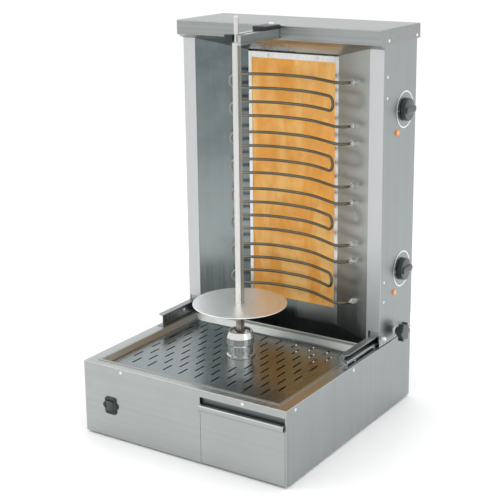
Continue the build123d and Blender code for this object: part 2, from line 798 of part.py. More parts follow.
# ---------------------------------------------------------------- tower casing
strip_inner = half_width - strip_width
notch_inner = rail_x - 7
notch_top = base_top + notch_height
side_top = hood_top - 12
controls = [(tower_front + control_y, base_top + height) for height in (control_upper, control_lower)]
lamps = [(y + lamp_shift, z - lamp_drop) for y, z in controls]
clamp_centre = (tower_front + clamp_y, base_top + clamp_rise)
shoe_bolts = [(tower_front + 15, base_top + 23), (tower_back - 42, base_top + 25)]
hood_rivets = [(tower_front + 19, hood_bottom + 8), (tower_back - 8, hood_bottom + 8)]
bracket_rises = [control_upper + 90, control_upper + 40, control_lower - 12, control_lower - 63]
bracket_rivets = [(tower_front + 21, base_top + rise) for rise in bracket_rises]

for side, name in ((-1, "tower_left_panel"), (1, "tower_right_panel")):
    with BuildPart() as tower_side:
        with BuildSketch(side_plane(side * wall_inner)):
            rectangle_between((tower_front, tower_floor), (tower_back - sheet, side_top))
            if side > 0:
                with Locations(*controls):
                    Circle(spindle_radius + 1, mode=Mode.SUBTRACT)
                with Locations(*lamps):
                    Circle(lamp_radius - 1.4, mode=Mode.SUBTRACT)
                with Locations(clamp_centre):
                    Circle(4.6, mode=Mode.SUBTRACT)
                with Locations(*bracket_rivets):
                    Circle(screw_radius + screw_clearance, mode=Mode.SUBTRACT)
            with Locations(*shoe_bolts):
                Circle(3 + screw_clearance, mode=Mode.SUBTRACT)
            with Locations(*hood_rivets):
                Circle(screw_radius + screw_clearance, mode=Mode.SUBTRACT)
        extrude(amount=side * sheet)
        with BuildSketch(front_plane(tower_front + sheet)):
            rectangle_between((side * strip_inner, tower_floor), (side * half_width, strip_top))
            rectangle_between(
                (side * notch_inner, tower_floor), (side * (half_width + 1), notch_top), mode=Mode.SUBTRACT
            )
        extrude(amount=sheet)
        with BuildSketch(level(tower_floor)):
            rectangle_between((side * wall_inner, tower_front), (side * half_width, tower_front + sheet))
        extrude(amount=notch_height - 3, mode=Mode.SUBTRACT)
        with BuildSketch(level(notch_top)):
            rectangle_between(
                (side * wall_inner, tower_back - 2 * sheet), (side * (wall_inner - 14), tower_back - sheet)
            )
        extrude(amount=side_top - notch_top)
    tower_side.part.label = name
    export_step(tower_side.part, f"parts/{name}.step")

with BuildPart() as tower_back_panel:
    with BuildSketch(front_plane(tower_back)):
        rectangle_between((-half_width, tower_floor), (half_width, side_top))
        for side in (-1, 1):
            rectangle_between(
                (side * notch_inner, tower_floor), (side * (half_width + 1), notch_top), mode=Mode.SUBTRACT
            )
        for z in (base_top + 320, base_top + 560):
            with Locations((0, z)):
                with GridLocations(26, 14, 9, 5):
                    SlotOverall(18, 4, mode=Mode.SUBTRACT)
    extrude(amount=sheet)
tower_back_panel.part.label = "tower_back_panel"
export_step(tower_back_panel.part, "parts/tower_back_panel.step")

hood_front = tower_front - hood_front_overhang
hood_back = tower_back + hood_back_overhang
hood_half = half_width + hood_side_overhang
arm_bottom = hood_bottom + arm_rise
arm_top = arm_bottom + arm_height
arm_half = arm_width / 2
hood_hole_half = arm_half + 2.2
with BuildPart() as hood:
    with BuildSketch(level(hood_bottom)):
        rectangle_between((-hood_half, hood_front), (hood_half, hood_back))
    extrude(amount=hood_height)
    fillet(hood.edges().group_by(Axis.Z)[-1], 2)
    with BuildSketch(level(hood_bottom)):
        rectangle_between((-hood_half + sheet, hood_front + sheet), (hood_half - sheet, hood_back - sheet))
    extrude(amount=hood_height - sheet, mode=Mode.SUBTRACT)
    with BuildSketch(side_plane(-hood_half)):
        with BuildLine():
            Polyline(
                (hood_front, hood_bottom + 1),
                (hood_front, hood_bottom),
                (tower_front - 0.3, strip_top),
                (tower_front - 0.3, strip_top + sheet),
                (hood_front + sheet, hood_bottom + sheet),
                (hood_front + sheet, hood_bottom + 1),
                close=True,
            )
        make_face()
    extrude(amount=2 * hood_half)
    for side in (-1, 1):
        with BuildSketch(side_plane(side * (hood_half - sheet))):
            with BuildLine():
                Polyline(
                    (hood_front, hood_bottom),
                    (tower_front - 0.3, strip_top),
                    (tower_front - 0.3, hood_bottom),
                    close=True,
                )
            make_face()
        extrude(amount=side * sheet)
        with BuildSketch(side_plane(side * (hood_half - sheet))):
            with Locations(*hood_rivets):
                Circle(screw_radius + screw_clearance)
        extrude(amount=side * sheet, mode=Mode.SUBTRACT)
    with BuildSketch(front_plane(hood_front)):
        rectangle_between((-hood_hole_half, arm_bottom - 1.5), (hood_hole_half, arm_top + 1.5))
    extrude(amount=-2 * sheet, mode=Mode.SUBTRACT)
hood.part.label = "hood"
export_step(hood.part, "parts/hood.step")

# ---------------------------------------------------------------- heating bay
bay_bottom = tower_floor + bay_clearance + 2
bay_front = tower_front + sheet
rear_y = tower_front + reflector_y
rear_top = strip_top - reflector_top_drop
wall_run = (strip_inner - reflector_rear_half, rear_y - bay_front)
wall_length = hypot(*wall_run)
along = (-wall_run[0] / wall_length, wall_run[1] / wall_length)
inward = (-along[1], along[0] * 1.0)
top_slope = (rear_top - strip_top) / (rear_y - bay_front)


def roof_height(y):
    """Height of the sloping roof of the heating bay at y."""
    return strip_top + top_slope * (y - bay_front)


fitting_x = strip_inner + along[0] * wall_length * fitting_along_wall
fitting_y = bay_front + along[1] * wall_length * fitting_along_wall
element_centres = [
    base_top + element_centre + (row - (element_count - 1) / 2) * element_pitch for row in range(element_count)
]
terminal_levels = [z + side * 1.5 * pass_pitch for z in element_centres for side in (-1, 1)]

for side, name in ((-1, "reflector_left"), (1, "reflector_right")):
    with BuildPart() as reflector:
        with BuildSketch(level(bay_bottom)):
            with BuildLine():
                Polyline(
                    (side * (strip_inner + 12), bay_front),
                    (side * strip_inner, bay_front),
                    (side * reflector_rear_half, rear_y),
                    (side * reflector_rear_half, rear_y + 14),
                    (side * (reflector_rear_half + liner), rear_y + 14),
                    (side * (reflector_rear_half + liner), rear_y + liner * 0.6),
                    (side * (strip_inner + liner * 0.2), bay_front + liner),
                    (side * (strip_inner + 12), bay_front + liner),
                    close=True,
                )
            make_face()
        extrude(amount=strip_top - bay_bottom)
        with BuildSketch(side_plane(-half_width)):
            with BuildLine():
                Polyline(
                    (bay_front - 5, roof_height(bay_front - 5)),
                    (rear_y + 20, roof_height(rear_y + 20)),
                    (rear_y + 20, hood_top),
                    (bay_front - 5, hood_top),
                    close=True,
                )
            make_face()
        extrude(amount=base_width, mode=Mode.SUBTRACT)
        with BuildSketch(level(bay_bottom)):
            rectangle_between((side * notch_inner, bay_front), (side * half_width, bay_front + 3))
        extrude(amount=notch_top - bay_bottom, mode=Mode.SUBTRACT)
        if side > 0:
            for z in terminal_levels:
                hole_plane = Plane(
                    origin=(fitting_x, fitting_y, z), x_dir=(0, 0, 1), z_dir=(inward[0], inward[1], 0)
                )
                with BuildSketch(hole_plane):
                    Circle(5)
                extrude(amount=4, both=True, mode=Mode.SUBTRACT)
    reflector.part.label = name
    export_step(reflector.part, f"parts/{name}.step")

with BuildPart() as reflector_roof:
    with BuildSketch(side_plane(-half_width)):
        with BuildLine():
            Polyline(
                (bay_front, roof_height(bay_front)),
                (rear_y, roof_height(rear_y)),
                (rear_y + 16, roof_height(rear_y)),
                (rear_y + 16, roof_height(rear_y) + liner),
                (rear_y, roof_height(rear_y) + liner),
                (bay_front, roof_height(bay_front) + liner),
                close=True,
            )
        make_face()
    extrude(amount=base_width)
    with BuildSketch(level(bay_bottom)):
        with BuildLine():
            Polyline(
                (-strip_inner, bay_front),
                (strip_inner, bay_front),
                (reflector_rear_half, rear_y),
                (reflector_rear_half, rear_y + 18),
                (-reflector_rear_half, rear_y + 18),
                (-reflector_rear_half, rear_y),
                close=True,
            )
        make_face()
    extrude(amount=hood_top - bay_bottom, mode=Mode.INTERSECT)
reflector_roof.part.label = "reflector_roof"
export_step(reflector_roof.part, "parts/reflector_roof.step")

panel_z0 = base_top + panel_bottom
panel_z1 = panel_z0 + panel_height
panel_back = rear_y + sheet + panel_thickness
inner_half = reflector_rear_half - gap / 2
with BuildPart() as reflector_sill:
    with BuildSketch(side_plane(-inner_half)):
        rectangle_between((rear_y, bay_bottom), (rear_y + sheet, panel_z0))
        rectangle_between((rear_y, panel_z0 - sheet), (panel_back, panel_z0))
    extrude(amount=2 * inner_half)
reflector_sill.part.label = "reflector_sill"
export_step(reflector_sill.part, "parts/reflector_sill.step")

with BuildPart() as refractory_panel:
    with BuildSketch(level(panel_z0)):
        rectangle_between((-inner_half + 2, rear_y + sheet), (inner_half - 2, panel_back))
    extrude(amount=panel_height)
refractory_panel.part.label = "refractory_panel"
export_step(refractory_panel.part, "parts/refractory_panel.step")

with BuildPart() as insulation_board:
    with BuildSketch(level(bay_bottom + 20)):
        rectangle_between((-inner_half, panel_back + gap), (inner_half, panel_back + 14))
    extrude(amount=panel_z1 + frame_top_strip - bay_bottom - 20)
insulation_board.part.label = "insulation_board"
export_step(insulation_board.part, "parts/insulation_board.step")

frame_screws = [(-72.0, panel_z1 + frame_top_strip / 2), (72.0, panel_z1 + frame_top_strip / 2)]
with BuildPart() as panel_frame:
    with BuildSketch(front_plane(rear_y + sheet)):
        rectangle_between((-inner_half, panel_z0), (inner_half, panel_z1 + frame_top_strip))
        rectangle_between((-panel_half_width, panel_z0 - 1), (panel_half_width, panel_z1), mode=Mode.SUBTRACT)
        with Locations(*frame_screws):
            Circle(screw_radius + screw_clearance, mode=Mode.SUBTRACT)
    extrude(amount=sheet)
panel_frame.part.label = "panel_frame"
export_step(panel_frame.part, "parts/panel_frame.step")

element_y = rear_y - element_standoff
slant = (cos(radians(element_slant)), -sin(radians(element_slant)))
right_end = (element_straight_half + slant[0] * element_reach, element_y + slant[1] * element_reach)
# the last corner of a terminal run: where the slanted run meets the line square to the reflector
across = (
    (fitting_x - element_straight_half) * slant[1] - (fitting_y - element_y) * slant[0]
) / (inward[1] * slant[0] - inward[0] * slant[1])
corner = (fitting_x + inward[0] * across, fitting_y + inward[1] * across)
tail = (fitting_x - inward[0] * 24, fitting_y - inward[1] * 24)
terminal_bend = 26.0

for number, centre in enumerate(reversed(element_centres), start=1):
    levels = [centre + (1.5 - step) * pass_pitch for step in range(4)]
    with BuildPart() as element:
        with BuildLine() as route:
            for step, z in enumerate(levels):
                left = (-right_end[0], right_end[1], z)
                middle = [(-element_straight_half, element_y, z), (element_straight_half, element_y, z)]
                if step in (0, 3):
                    FilletPolyline(
                        left,
                        *middle,
                        (corner[0], corner[1], z),
                        (tail[0], tail[1], z),
                        radius=[element_bend_radius, element_bend_radius, terminal_bend],
                    )
                else:
                    FilletPolyline(left, *middle, (right_end[0], right_end[1], z), radius=element_bend_radius)
            for side, upper in ((-1, 0), (1, 1), (-1, 2)):
                bend = pass_pitch / 2
                end = (side * right_end[0], right_end[1])
                ThreePointArc(
                    (end[0], end[1], levels[upper]),
                    (end[0] + side * slant[0] * bend, end[1] + slant[1] * bend, levels[upper] - bend),
                    (end[0], end[1], levels[upper + 1]),
                )
        start = Plane(origin=(tail[0], tail[1], levels[0]), z_dir=(inward[0], inward[1], 0))
        with BuildSketch(start):
            Circle(tube_radius)
        sweep(path=Wire(route.edges()))
    element.part.label = f"heating_element_{number}"
    export_step(element.part, f"parts/heating_element_{number}.step")
    tube_length = sum(edge.length for edge in route.edges())
    print(element.part.label, "length", round(tube_length), "volume ratio",
          round(element.part.volume / (tube_length * 3.14159265 * tube_radius**2), 3))

with BuildPart() as element_fittings:
    for z in terminal_levels:
        seat = Plane(origin=(fitting_x, fitting_y, z), x_dir=(0, 0, 1), z_dir=(inward[0], inward[1], 0))
        with BuildSketch(seat):
            RegularPolygon(fitting_radius, 6)
        extrude(amount=7)
        with BuildSketch(seat.offset(7)):
            Circle(fitting_radius - 2)
        extrude(amount=7, taper=8)
        with BuildSketch(seat):
            Circle(4.8)
        extrude(amount=-8)
        with BuildSketch(seat.offset(14)):
            Circle(tube_radius + 0.1)
        extrude(amount=-30, mode=Mode.SUBTRACT)
element_fittings.part.label = "element_fittings"
export_step(element_fittings.part, "parts/element_fittings.step")

# ---------------------------------------------------------------- controls on the right side
outside = Plane(origin=(half_width, 0, 0), x_dir=(0, 1, 0), z_dir=(1, 0, 0))
inside_right = outside.offset(-sheet)
with BuildPart() as energy_regulators:
    with BuildSketch(inside_right):
        with Locations(*controls):
            RectangleRounded(46, 40, 3)
            with Locations((0, 0)):
                Circle(spindle_radius + running_clearance, mode=Mode.SUBTRACT)
    extrude(amount=-34)
energy_regulators.part.label = "energy_regulators"
export_step(energy_regulators.part, "parts/energy_regulators.step")

with BuildPart() as dials:
    with BuildSketch(outside):
        with Locations(*controls):
            Circle(dial_radius)
            Circle(spindle_radius + 1, mode=Mode.SUBTRACT)
    extrude(amount=dial_thickness)
dials.part.label = "dials"
export_step(dials.part, "parts/dials.step")

with BuildPart() as pilot_lamps:
    with BuildSketch(outside):
        with Locations(*lamps):
            Circle(lamp_radius)
    extrude(amount=4)
    fillet(pilot_lamps.faces().sort_by(Axis.X)[-2:].edges(), 2.4)
    with BuildSketch(outside):
        with Locations(*lamps):
            Circle(lamp_radius - 1.4 - screw_clearance)
    extrude(amount=-20)
pilot_lamps.part.label = "pilot_lamps"
export_step(pilot_lamps.part, "parts/pilot_lamps.step")

knob_seat = dial_thickness + 0.8
for (knob_y, knob_z), name in zip(controls, ("knob_upper", "knob_lower")):
    with BuildPart() as knob:
        with BuildSketch(outside.offset(knob_seat)):
            with Locations((knob_y, knob_z)):
                Circle(knob_radius)
        extrude(amount=knob_height - 6, taper=3)
        with BuildSketch(outside.offset(knob_seat)):
            with Locations((knob_y, knob_z)):
                SlotOverall(2 * knob_radius - 4, 17)
        extrude(amount=knob_height)
        fillet(knob.faces().sort_by(Axis.X)[-1].edges(), 2.5)
        with BuildSketch(outside.offset(knob_seat)):
            with Locations((knob_y, knob_z)):
                Circle(spindle_radius)
        extrude(amount=-28)
    knob.part.label = name
    export_step(knob.part, f"parts/{name}.step")

with BuildPart() as terminal_block:
    with BuildSketch(front_plane(tower_back - sheet)):
        with Locations((half_width - 90, base_top + 330)):
            Rectangle(26, 96)
    extrude(amount=20)
    with BuildSketch(front_plane(tower_back - sheet - 20)):
        with Locations((half_width - 90, base_top + 330)):
            with GridLocations(13, 15, 2, 6):
                Circle(3.4)
    extrude(amount=-6, mode=Mode.SUBTRACT)
terminal_block.part.label = "terminal_block"
export_step(terminal_block.part, "parts/terminal_block.step")

# ---------------------------------------------------------------- carriage on the rails
carriage_z = notch_top + 5
carriage_front = panel_back + 20
shoe_gap = 0.3
shoe_spans = [(tower_front + 4, tower_front + 39), (tower_back - 48, tower_back - 10)]
with BuildPart() as tower_carriage:
    with BuildSketch(level(carriage_z)):
        rectangle_between((-wall_inner, carriage_front), (wall_inner, tower_back - 2 * sheet))
    extrude(amount=3)
    with BuildSketch(level(carriage_z - 14)):
        rectangle_between((-wall_inner + 40, tower_back - 3 * sheet), (wall_inner - 40, tower_back - 2 * sheet))
    extrude(amount=14)
tower_carriage.part.label = "tower_carriage"
export_step(tower_carriage.part, "parts/tower_carriage.step")

with BuildPart() as slide_shoes:
    for side in (-1, 1):
        for start_y, end_y in shoe_spans:
            with BuildSketch(front_plane(start_y)):
                rectangle_between((side * (rail_x - 4), rail_top + shoe_gap), (side * wall_inner, carriage_z))
                rectangle_between(
                    (side * (rail_x - 4), rail_top - 7), (side * (rail_x - shoe_gap), rail_top + shoe_gap)
                )
                rectangle_between(
                    (side * (rail_outer + shoe_gap), base_top + 16),
                    (side * wall_inner, rail_top + shoe_gap),
                )
            extrude(amount=-(end_y - start_y))
    for side in (-1, 1):
        with BuildSketch(side_plane(side * wall_inner)):
            with Locations(*shoe_bolts):
                Circle(3 + screw_clearance)
        extrude(amount=-side * 6, mode=Mode.SUBTRACT)
slide_shoes.part.label = "slide_shoes"
export_step(slide_shoes.part, "parts/slide_shoes.step")

clamp_block_bottom = base_top + rail_sheet + rail_screw_head + 0.4
with BuildPart() as clamp_block:
    with BuildSketch(front_plane(clamp_centre[0] - clamp_block_half)):
        rectangle_between((rail_x + rail_sheet + 3, clamp_block_bottom), (wall_inner, rail_top - rail_sheet - 0.5))
        with Locations((rod_x, rod_z)):
            Circle(rod_radius + running_clearance, mode=Mode.SUBTRACT)
    extrude(amount=-2 * clamp_block_half)
    with BuildSketch(side_plane(rail_x)):
        with Locations(clamp_centre):
            Circle(clamp_stem_radius + running_clearance)
    extrude(amount=half_width - rail_x, mode=Mode.SUBTRACT)
clamp_block.part.label = "clamp_block"
export_step(clamp_block.part, "parts/clamp_block.step")

clamp_nut_height = 5.0
clamp_neck_start = clamp_nut_height + 1
clamp_stem_start = rail_x + rail_sheet + shoe_gap
with BuildPart() as clamp_knob:
    with BuildSketch(outside.offset(clamp_knob_standoff)):
        with Locations(clamp_centre):
            Circle(clamp_knob_radius - 5)
            with PolarLocations(clamp_knob_radius - 6, 6):
                Circle(6)
    extrude(amount=clamp_knob_thickness)
    fillet(clamp_knob.edges(), 2)
    with BuildSketch(outside.offset(clamp_neck_start)):
        with Locations(clamp_centre):
            Circle(10)
    extrude(amount=clamp_knob_standoff + 2 - clamp_neck_start)
    with BuildSketch(side_plane(clamp_stem_start)):
        with Locations(clamp_centre):
            Circle(clamp_stem_radius)
    extrude(amount=half_width + clamp_knob_standoff - clamp_stem_start)
clamp_knob.part.label = "clamp_knob"
export_step(clamp_knob.part, "parts/clamp_knob.step")


# ---------------------------------------------------------------- top arm and its bearing
arm_front = spit_y + 17
arm_back = hood_front + arm_rear
track_back = arm_back + tower_travel + 10
jaw_bottom = spit_bar_top + 1
jaw_front = spit_y - 9
slot_front = arm_front + 4
slot_back = hood_front - 4
with BuildPart() as top_arm:
    with BuildSketch(front_plane(arm_front)):
        rectangle_between((-arm_half, arm_bottom), (arm_half, arm_top))
        rectangle_between(
            (-arm_half + arm_sheet, arm_bottom), (arm_half - arm_sheet, arm_top - arm_sheet), mode=Mode.SUBTRACT
        )
    extrude(amount=-(arm_back - arm_front))
    with BuildSketch(level(arm_top)):
        with Locations((0, (slot_front + slot_back) / 2)):
            SlotOverall(slot_back - slot_front, arm_slot_width, rotation=90)
    extrude(amount=-arm_sheet, mode=Mode.SUBTRACT)
    with BuildSketch(level(arm_bottom)):
        rectangle_between((arm_half - arm_sheet, jaw_front - arm_sheet), (arm_half, arm_front))
        rectangle_between((arm_half - 9, jaw_front - arm_sheet), (arm_half, jaw_front - 0.2))
    extrude(amount=arm_height)
top_arm.part.label = "top_arm"
export_step(top_arm.part, "parts/top_arm.step")

jaw_top = min(jaw_bottom + jaw_height, arm_top)
jaw_tongue_half = arm_half - arm_sheet - 0.1
with BuildPart() as bearing_jaw:
    with BuildSketch(level(jaw_bottom)):
        rectangle_between((-jaw_left, jaw_front), (jaw_tongue_half, arm_front - 0.1))
        with Locations((0, spit_y)):
            Circle(spit_top_pin_radius + 0.1, mode=Mode.SUBTRACT)
        rectangle_between(
            (-spit_top_pin_radius - 0.1, spit_y - jaw_length),
            (spit_top_pin_radius + 0.1, spit_y),
            mode=Mode.SUBTRACT,
        )
    extrude(amount=jaw_top - jaw_bottom)
    with BuildSketch(level(jaw_bottom)):
        rectangle_between((-jaw_tongue_half, arm_front - 1), (jaw_tongue_half, arm_front + 18))
    extrude(amount=arm_top - arm_sheet - 0.1 - jaw_bottom)
    chamfer(bearing_jaw.edges().filter_by(Axis.Z).sort_by(Axis.X)[0:2], 2)
bearing_jaw.part.label = "bearing_jaw"
export_step(bearing_jaw.part, "parts/bearing_jaw.step")

clamp_screw_y = hood_front - 10
guide_gap = 0.3
with BuildPart() as arm_guide_block:
    with BuildSketch(level(arm_top + guide_gap)):
        rectangle_between((-arm_half, hood_front - guide_block_length), (arm_half, hood_front))
    extrude(amount=guide_block_height)
    fillet(arm_guide_block.faces().sort_by(Axis.Z)[-1].edges().filter_by(Axis.Y), 1.5)
    with BuildSketch(level(arm_top)):
        with Locations((0, clamp_screw_y)):
            Circle(3 + screw_clearance)
    extrude(amount=2 * guide_block_height, mode=Mode.SUBTRACT)
arm_guide_block.part.label = "arm_guide_block"
export_step(arm_guide_block.part, "parts/arm_guide_block.step")

guide_top = arm_top + guide_gap + guide_block_height
with BuildPart() as tower_fasteners:
    with BuildSketch(level(guide_top)):
        with Locations((0, clamp_screw_y)):
            Circle(6.5)
    extrude(amount=5)
    fillet(tower_fasteners.faces().sort_by(Axis.Z)[-1].edges(), 2)
    with BuildSketch(level(guide_top)):
        with Locations((0, clamp_screw_y)):
            Circle(3)
    extrude(amount=-(guide_top - arm_top + 9))
    with BuildSketch(level(arm_top - arm_sheet - guide_gap)):
        with Locations((0, clamp_screw_y)):
            RegularPolygon(5.5, 6)
    extrude(amount=-4)
    for side in (-1, 1):
        face = Plane(origin=(side * half_width, 0, 0), x_dir=(0, side, 0), z_dir=(side, 0, 0))
        if side > 0:
            with BuildSketch(face):
                with Locations(*bracket_rivets):
                    Circle(screw_radius)
            extrude(amount=-sheet - 2)
            with BuildSketch(face):
                with Locations(*bracket_rivets):
                    Circle(screw_head_radius - 0.5)
            extrude(amount=screw_head_height - 0.3, taper=35)
            with BuildSketch(face):
                with Locations(clamp_centre):
                    Circle(9)
                    Circle(clamp_stem_radius + 0.3, mode=Mode.SUBTRACT)
            extrude(amount=clamp_nut_height)
        skirt = face.offset(hood_side_overhang)
        with BuildSketch(skirt):
            with Locations(*[(side * y, z) for y, z in hood_rivets]):
                Circle(screw_head_radius)
        extrude(amount=screw_head_height, taper=30)
        with BuildSketch(skirt):
            with Locations(*[(side * y, z) for y, z in hood_rivets]):
                Circle(screw_radius)
        extrude(amount=-hood_side_overhang - 2 * sheet)
        with BuildSketch(face.offset(-6)):
            with Locations(*[(side * y, z) for y, z in shoe_bolts]):
                Circle(3)
        extrude(amount=6 + 7)
        with BuildSketch(face.offset(5)):
            with Locations(*[(side * y, z) for y, z in shoe_bolts[:1]]):
                RegularPolygon(5.5, 6)
        extrude(amount=6)
        with BuildSketch(face):
            with Locations(*[(side * y, z) for y, z in shoe_bolts[1:]]):
                RegularPolygon(5.5, 6)
        extrude(amount=5)
    with BuildSketch(outside):
        with Locations(shoe_bolts[1]):
            Circle(3)
    extrude(amount=bonding_length)
    with BuildSketch(front_plane(rear_y)):
        with Locations(*frame_screws):
            Circle(screw_head_radius)
    extrude(amount=screw_head_height, taper=30)
    with BuildSketch(front_plane(rear_y)):
        with Locations(*frame_screws):
            Circle(screw_radius)
    extrude(amount=-sheet)
tower_fasteners.part.label = "tower_fasteners"
export_step(tower_fasteners.part, "parts/tower_fasteners.step")

track_side = arm_half + guide_gap
track_floor = arm_bottom - guide_gap
with BuildPart() as arm_track:
    with BuildSketch(front_plane(hood_front + sheet)):
        rectangle_between((-track_side - liner, track_floor - liner), (track_side + liner, hood_top - sheet))
        rectangle_between((-track_side, track_floor), (track_side, hood_top), mode=Mode.SUBTRACT)
    extrude(amount=-(track_back - hood_front - sheet))
arm_track.part.label = "arm_track"
export_step(arm_track.part, "parts/arm_track.step")
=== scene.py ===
"""Finishes, small fittings and stage for a counter-top vertical rotisserie oven.

Everything is in metres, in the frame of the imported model.  Run it as a script inside Blender.
"""

from math import radians

import bmesh
import bpy
from bpy.props import FloatProperty, FloatVectorProperty, PointerProperty
from bpy.types import NodeSocket, Operator, Panel, PropertyGroup
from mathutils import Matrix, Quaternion, Vector


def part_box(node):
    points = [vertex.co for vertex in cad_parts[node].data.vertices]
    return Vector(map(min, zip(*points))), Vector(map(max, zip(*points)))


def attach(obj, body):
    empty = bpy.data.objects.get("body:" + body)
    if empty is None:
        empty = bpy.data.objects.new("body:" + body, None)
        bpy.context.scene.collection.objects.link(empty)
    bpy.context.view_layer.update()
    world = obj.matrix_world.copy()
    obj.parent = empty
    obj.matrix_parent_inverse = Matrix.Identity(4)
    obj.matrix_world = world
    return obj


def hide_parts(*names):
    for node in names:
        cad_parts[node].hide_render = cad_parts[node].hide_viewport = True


bl_info = {
    "name": "Rotisserie Oven Finisher",
    "version": (1, 0, 0),
    "blender": (4, 5, 0),
    "location": "3D View > Sidebar > Rotisserie",
    "description": "Steel finishes, fittings, heaters and stage for a vertical rotisserie oven",
    "category": "Object",
}

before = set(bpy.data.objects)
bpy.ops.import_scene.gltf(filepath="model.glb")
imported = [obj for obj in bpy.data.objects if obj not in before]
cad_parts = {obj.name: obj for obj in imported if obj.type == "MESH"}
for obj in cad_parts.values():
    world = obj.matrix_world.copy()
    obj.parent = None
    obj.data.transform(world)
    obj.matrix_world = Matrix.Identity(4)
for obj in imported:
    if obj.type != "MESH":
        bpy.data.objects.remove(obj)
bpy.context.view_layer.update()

# ------------------------------------------------------------------ places taken from the frame
front_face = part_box("front_panel")[0].y
side_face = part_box("base_right_panel")[1].x
tower_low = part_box("tower_right_panel")[0]
hood_low, hood_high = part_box("hood")
disc_low, disc_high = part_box("meat_disc")
spit_axis = Vector(((disc_low.x + disc_high.x) / 2, (disc_low.y + disc_high.y) / 2, 0))
tray_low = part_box("drip_tray")[0]
hub_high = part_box("spit_hub")[1]
board_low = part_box("refractory_panel")[0]


def middle(node):
    """Centre of a CAD node's box."""
    low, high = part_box(node)
    return (low + high) / 2


# ------------------------------------------------------------------ node tree helpers
class Web:
    """Adds nodes to a tree and joins them in one call."""

    def __init__(self, tree):
        self.tree = tree

    def add(self, kind, feeds=None, **settings):
        """Add one node; feeds maps an input's name or number to a value or to another node's output."""
        node = self.tree.nodes.new(kind)
        for key, value in settings.items():
            setattr(node, key, value)
        for key, value in (feeds or {}).items():
            if isinstance(value, NodeSocket):
                self.tree.links.new(value, node.inputs[key])
            else:
                node.inputs[key].default_value = value
        return node

    def math(self, operation, first, second=0.0, third=0.0, clamp=False):
        """One Math node's output."""
        feeds = {0: first, 1: second, 2: third}
        return self.add("ShaderNodeMath", feeds, operation=operation, use_clamp=clamp).outputs[0]

    def ramp(self, value, low, high, to_low=0.0, to_high=1.0):
        """Map a value between two limits to another pair, smoothly."""
        feeds = {0: value, 1: low, 2: high, 3: to_low, 4: to_high}
        return self.add("ShaderNodeMapRange", feeds, interpolation_type="SMOOTHSTEP").outputs[0]

    def blend(self, share, first, second, mode="MIX"):
        """Mix two colours."""
        node = self.add("ShaderNodeMix", data_type="RGBA", blend_type=mode)
        for number, value in ((0, share), (6, first), (7, second)):
            if isinstance(value, NodeSocket):
                self.tree.links.new(value, node.inputs[number])
            elif number == 0:
                node.inputs[number].default_value = value
            else:
                node.inputs[number].default_value = (*value, 1.0)
        return node.outputs[2]

    def place(self):
        """Position on the piece, in metres."""
        return self.add("ShaderNodeTexCoord").outputs["Object"]

    def place_along(self, axis):
        """One coordinate of the position: 0 is X, 1 is Y, 2 is Z."""
        return self.add("ShaderNodeSeparateXYZ", {0: self.place()}).outputs[axis]

    def vector(self, operation, first, second=(0, 0, 0)):
        """One Vector Math node; its first output is a vector and its second a length."""
        return self.add("ShaderNodeVectorMath", {0: first, 1: second}, operation=operation).outputs

    def noise(self, where, scale, detail=2.0, roughness=0.5, distortion=0.0):
        """Cloudy noise at a position, about 0.5."""
        feeds = {
            "Vector": where,
            "Scale": scale,
            "Detail": detail,
            "Roughness": roughness,
            "Distortion": distortion,
        }
        return self.add("ShaderNodeTexNoise", feeds).outputs[0]


def new_group(name, kind, inputs, outputs):
    """A node group with named sockets, and its input and output nodes."""
    tree = bpy.data.node_groups.new(name, kind)
    for label, socket, default in inputs:
        made = tree.interface.new_socket(label, in_out="INPUT", socket_type=socket)
        if default is not None:
            made.default_value = default
    for label, socket in outputs:
        tree.interface.new_socket(label, in_out="OUTPUT", socket_type=socket)
    web = Web(tree)
    return tree, web, web.add("NodeGroupInput").outputs, web.add("NodeGroupOutput").inputs


def once(maker):
    """Build a node group the first time it is asked for, then hand out the same one."""
    made = {}

    def fetch():
        if maker not in made:
            made[maker] = maker()
        return made[maker]

    return fetch


FLOAT, VECTOR = "NodeSocketFloat", "NodeSocketVector"


@once
def straight_grain():
    """Fine parallel brush marks; Along holds how fast the marks change on each axis, per metre."""
    tree, web, given, out = new_group(
        "straight_grain",
        "ShaderNodeTree",
        [("Along", VECTOR, (8.0, 900.0, 900.0)), ("Fineness", FLOAT, 1.0)],
        [("Streak", FLOAT), ("Height", FLOAT)],
    )
    stretched = web.vector("MULTIPLY", web.place(), given["Along"])[0]
    fine = web.noise(stretched, given["Fineness"], detail=4.0, roughness=0.65)
    wide = web.noise(stretched, web.math("MULTIPLY", given["Fineness"], 0.16))
    both = web.math("MULTIPLY_ADD", wide, 0.55, web.math("MULTIPLY", fine, 0.45))
    tree.links.new(web.ramp(both, 0.36, 0.64), out["Streak"])
    tree.links.new(fine, out["Height"])
    return tree


@once
def turned_grain():
    """Rings left by a lathe about an upright axis through Centre."""
    tree, web, given, out = new_group(
        "turned_grain",
        "ShaderNodeTree",
        [("Centre", VECTOR, (0, 0, 0)), ("Pitch", FLOAT, 700.0)],
        [("Streak", FLOAT), ("Height", FLOAT), ("Radius", FLOAT)],
    )
    offset = web.vector("SUBTRACT", web.place(), given["Centre"])[0]
    radius = web.vector("LENGTH", web.vector("MULTIPLY", offset, (1, 1, 0))[0])[1]
    height = web.add("ShaderNodeSeparateXYZ", {0: offset}).outputs[2]
    rings = web.add("ShaderNodeCombineXYZ", {0: radius, 1: height}).outputs[0]
    noise = web.noise(rings, given["Pitch"], detail=3.0, roughness=0.6)
    tree.links.new(web.ramp(noise, 0.35, 0.65), out["Streak"])
    tree.links.new(noise, out["Height"])
    tree.links.new(radius, out["Radius"])
    return tree


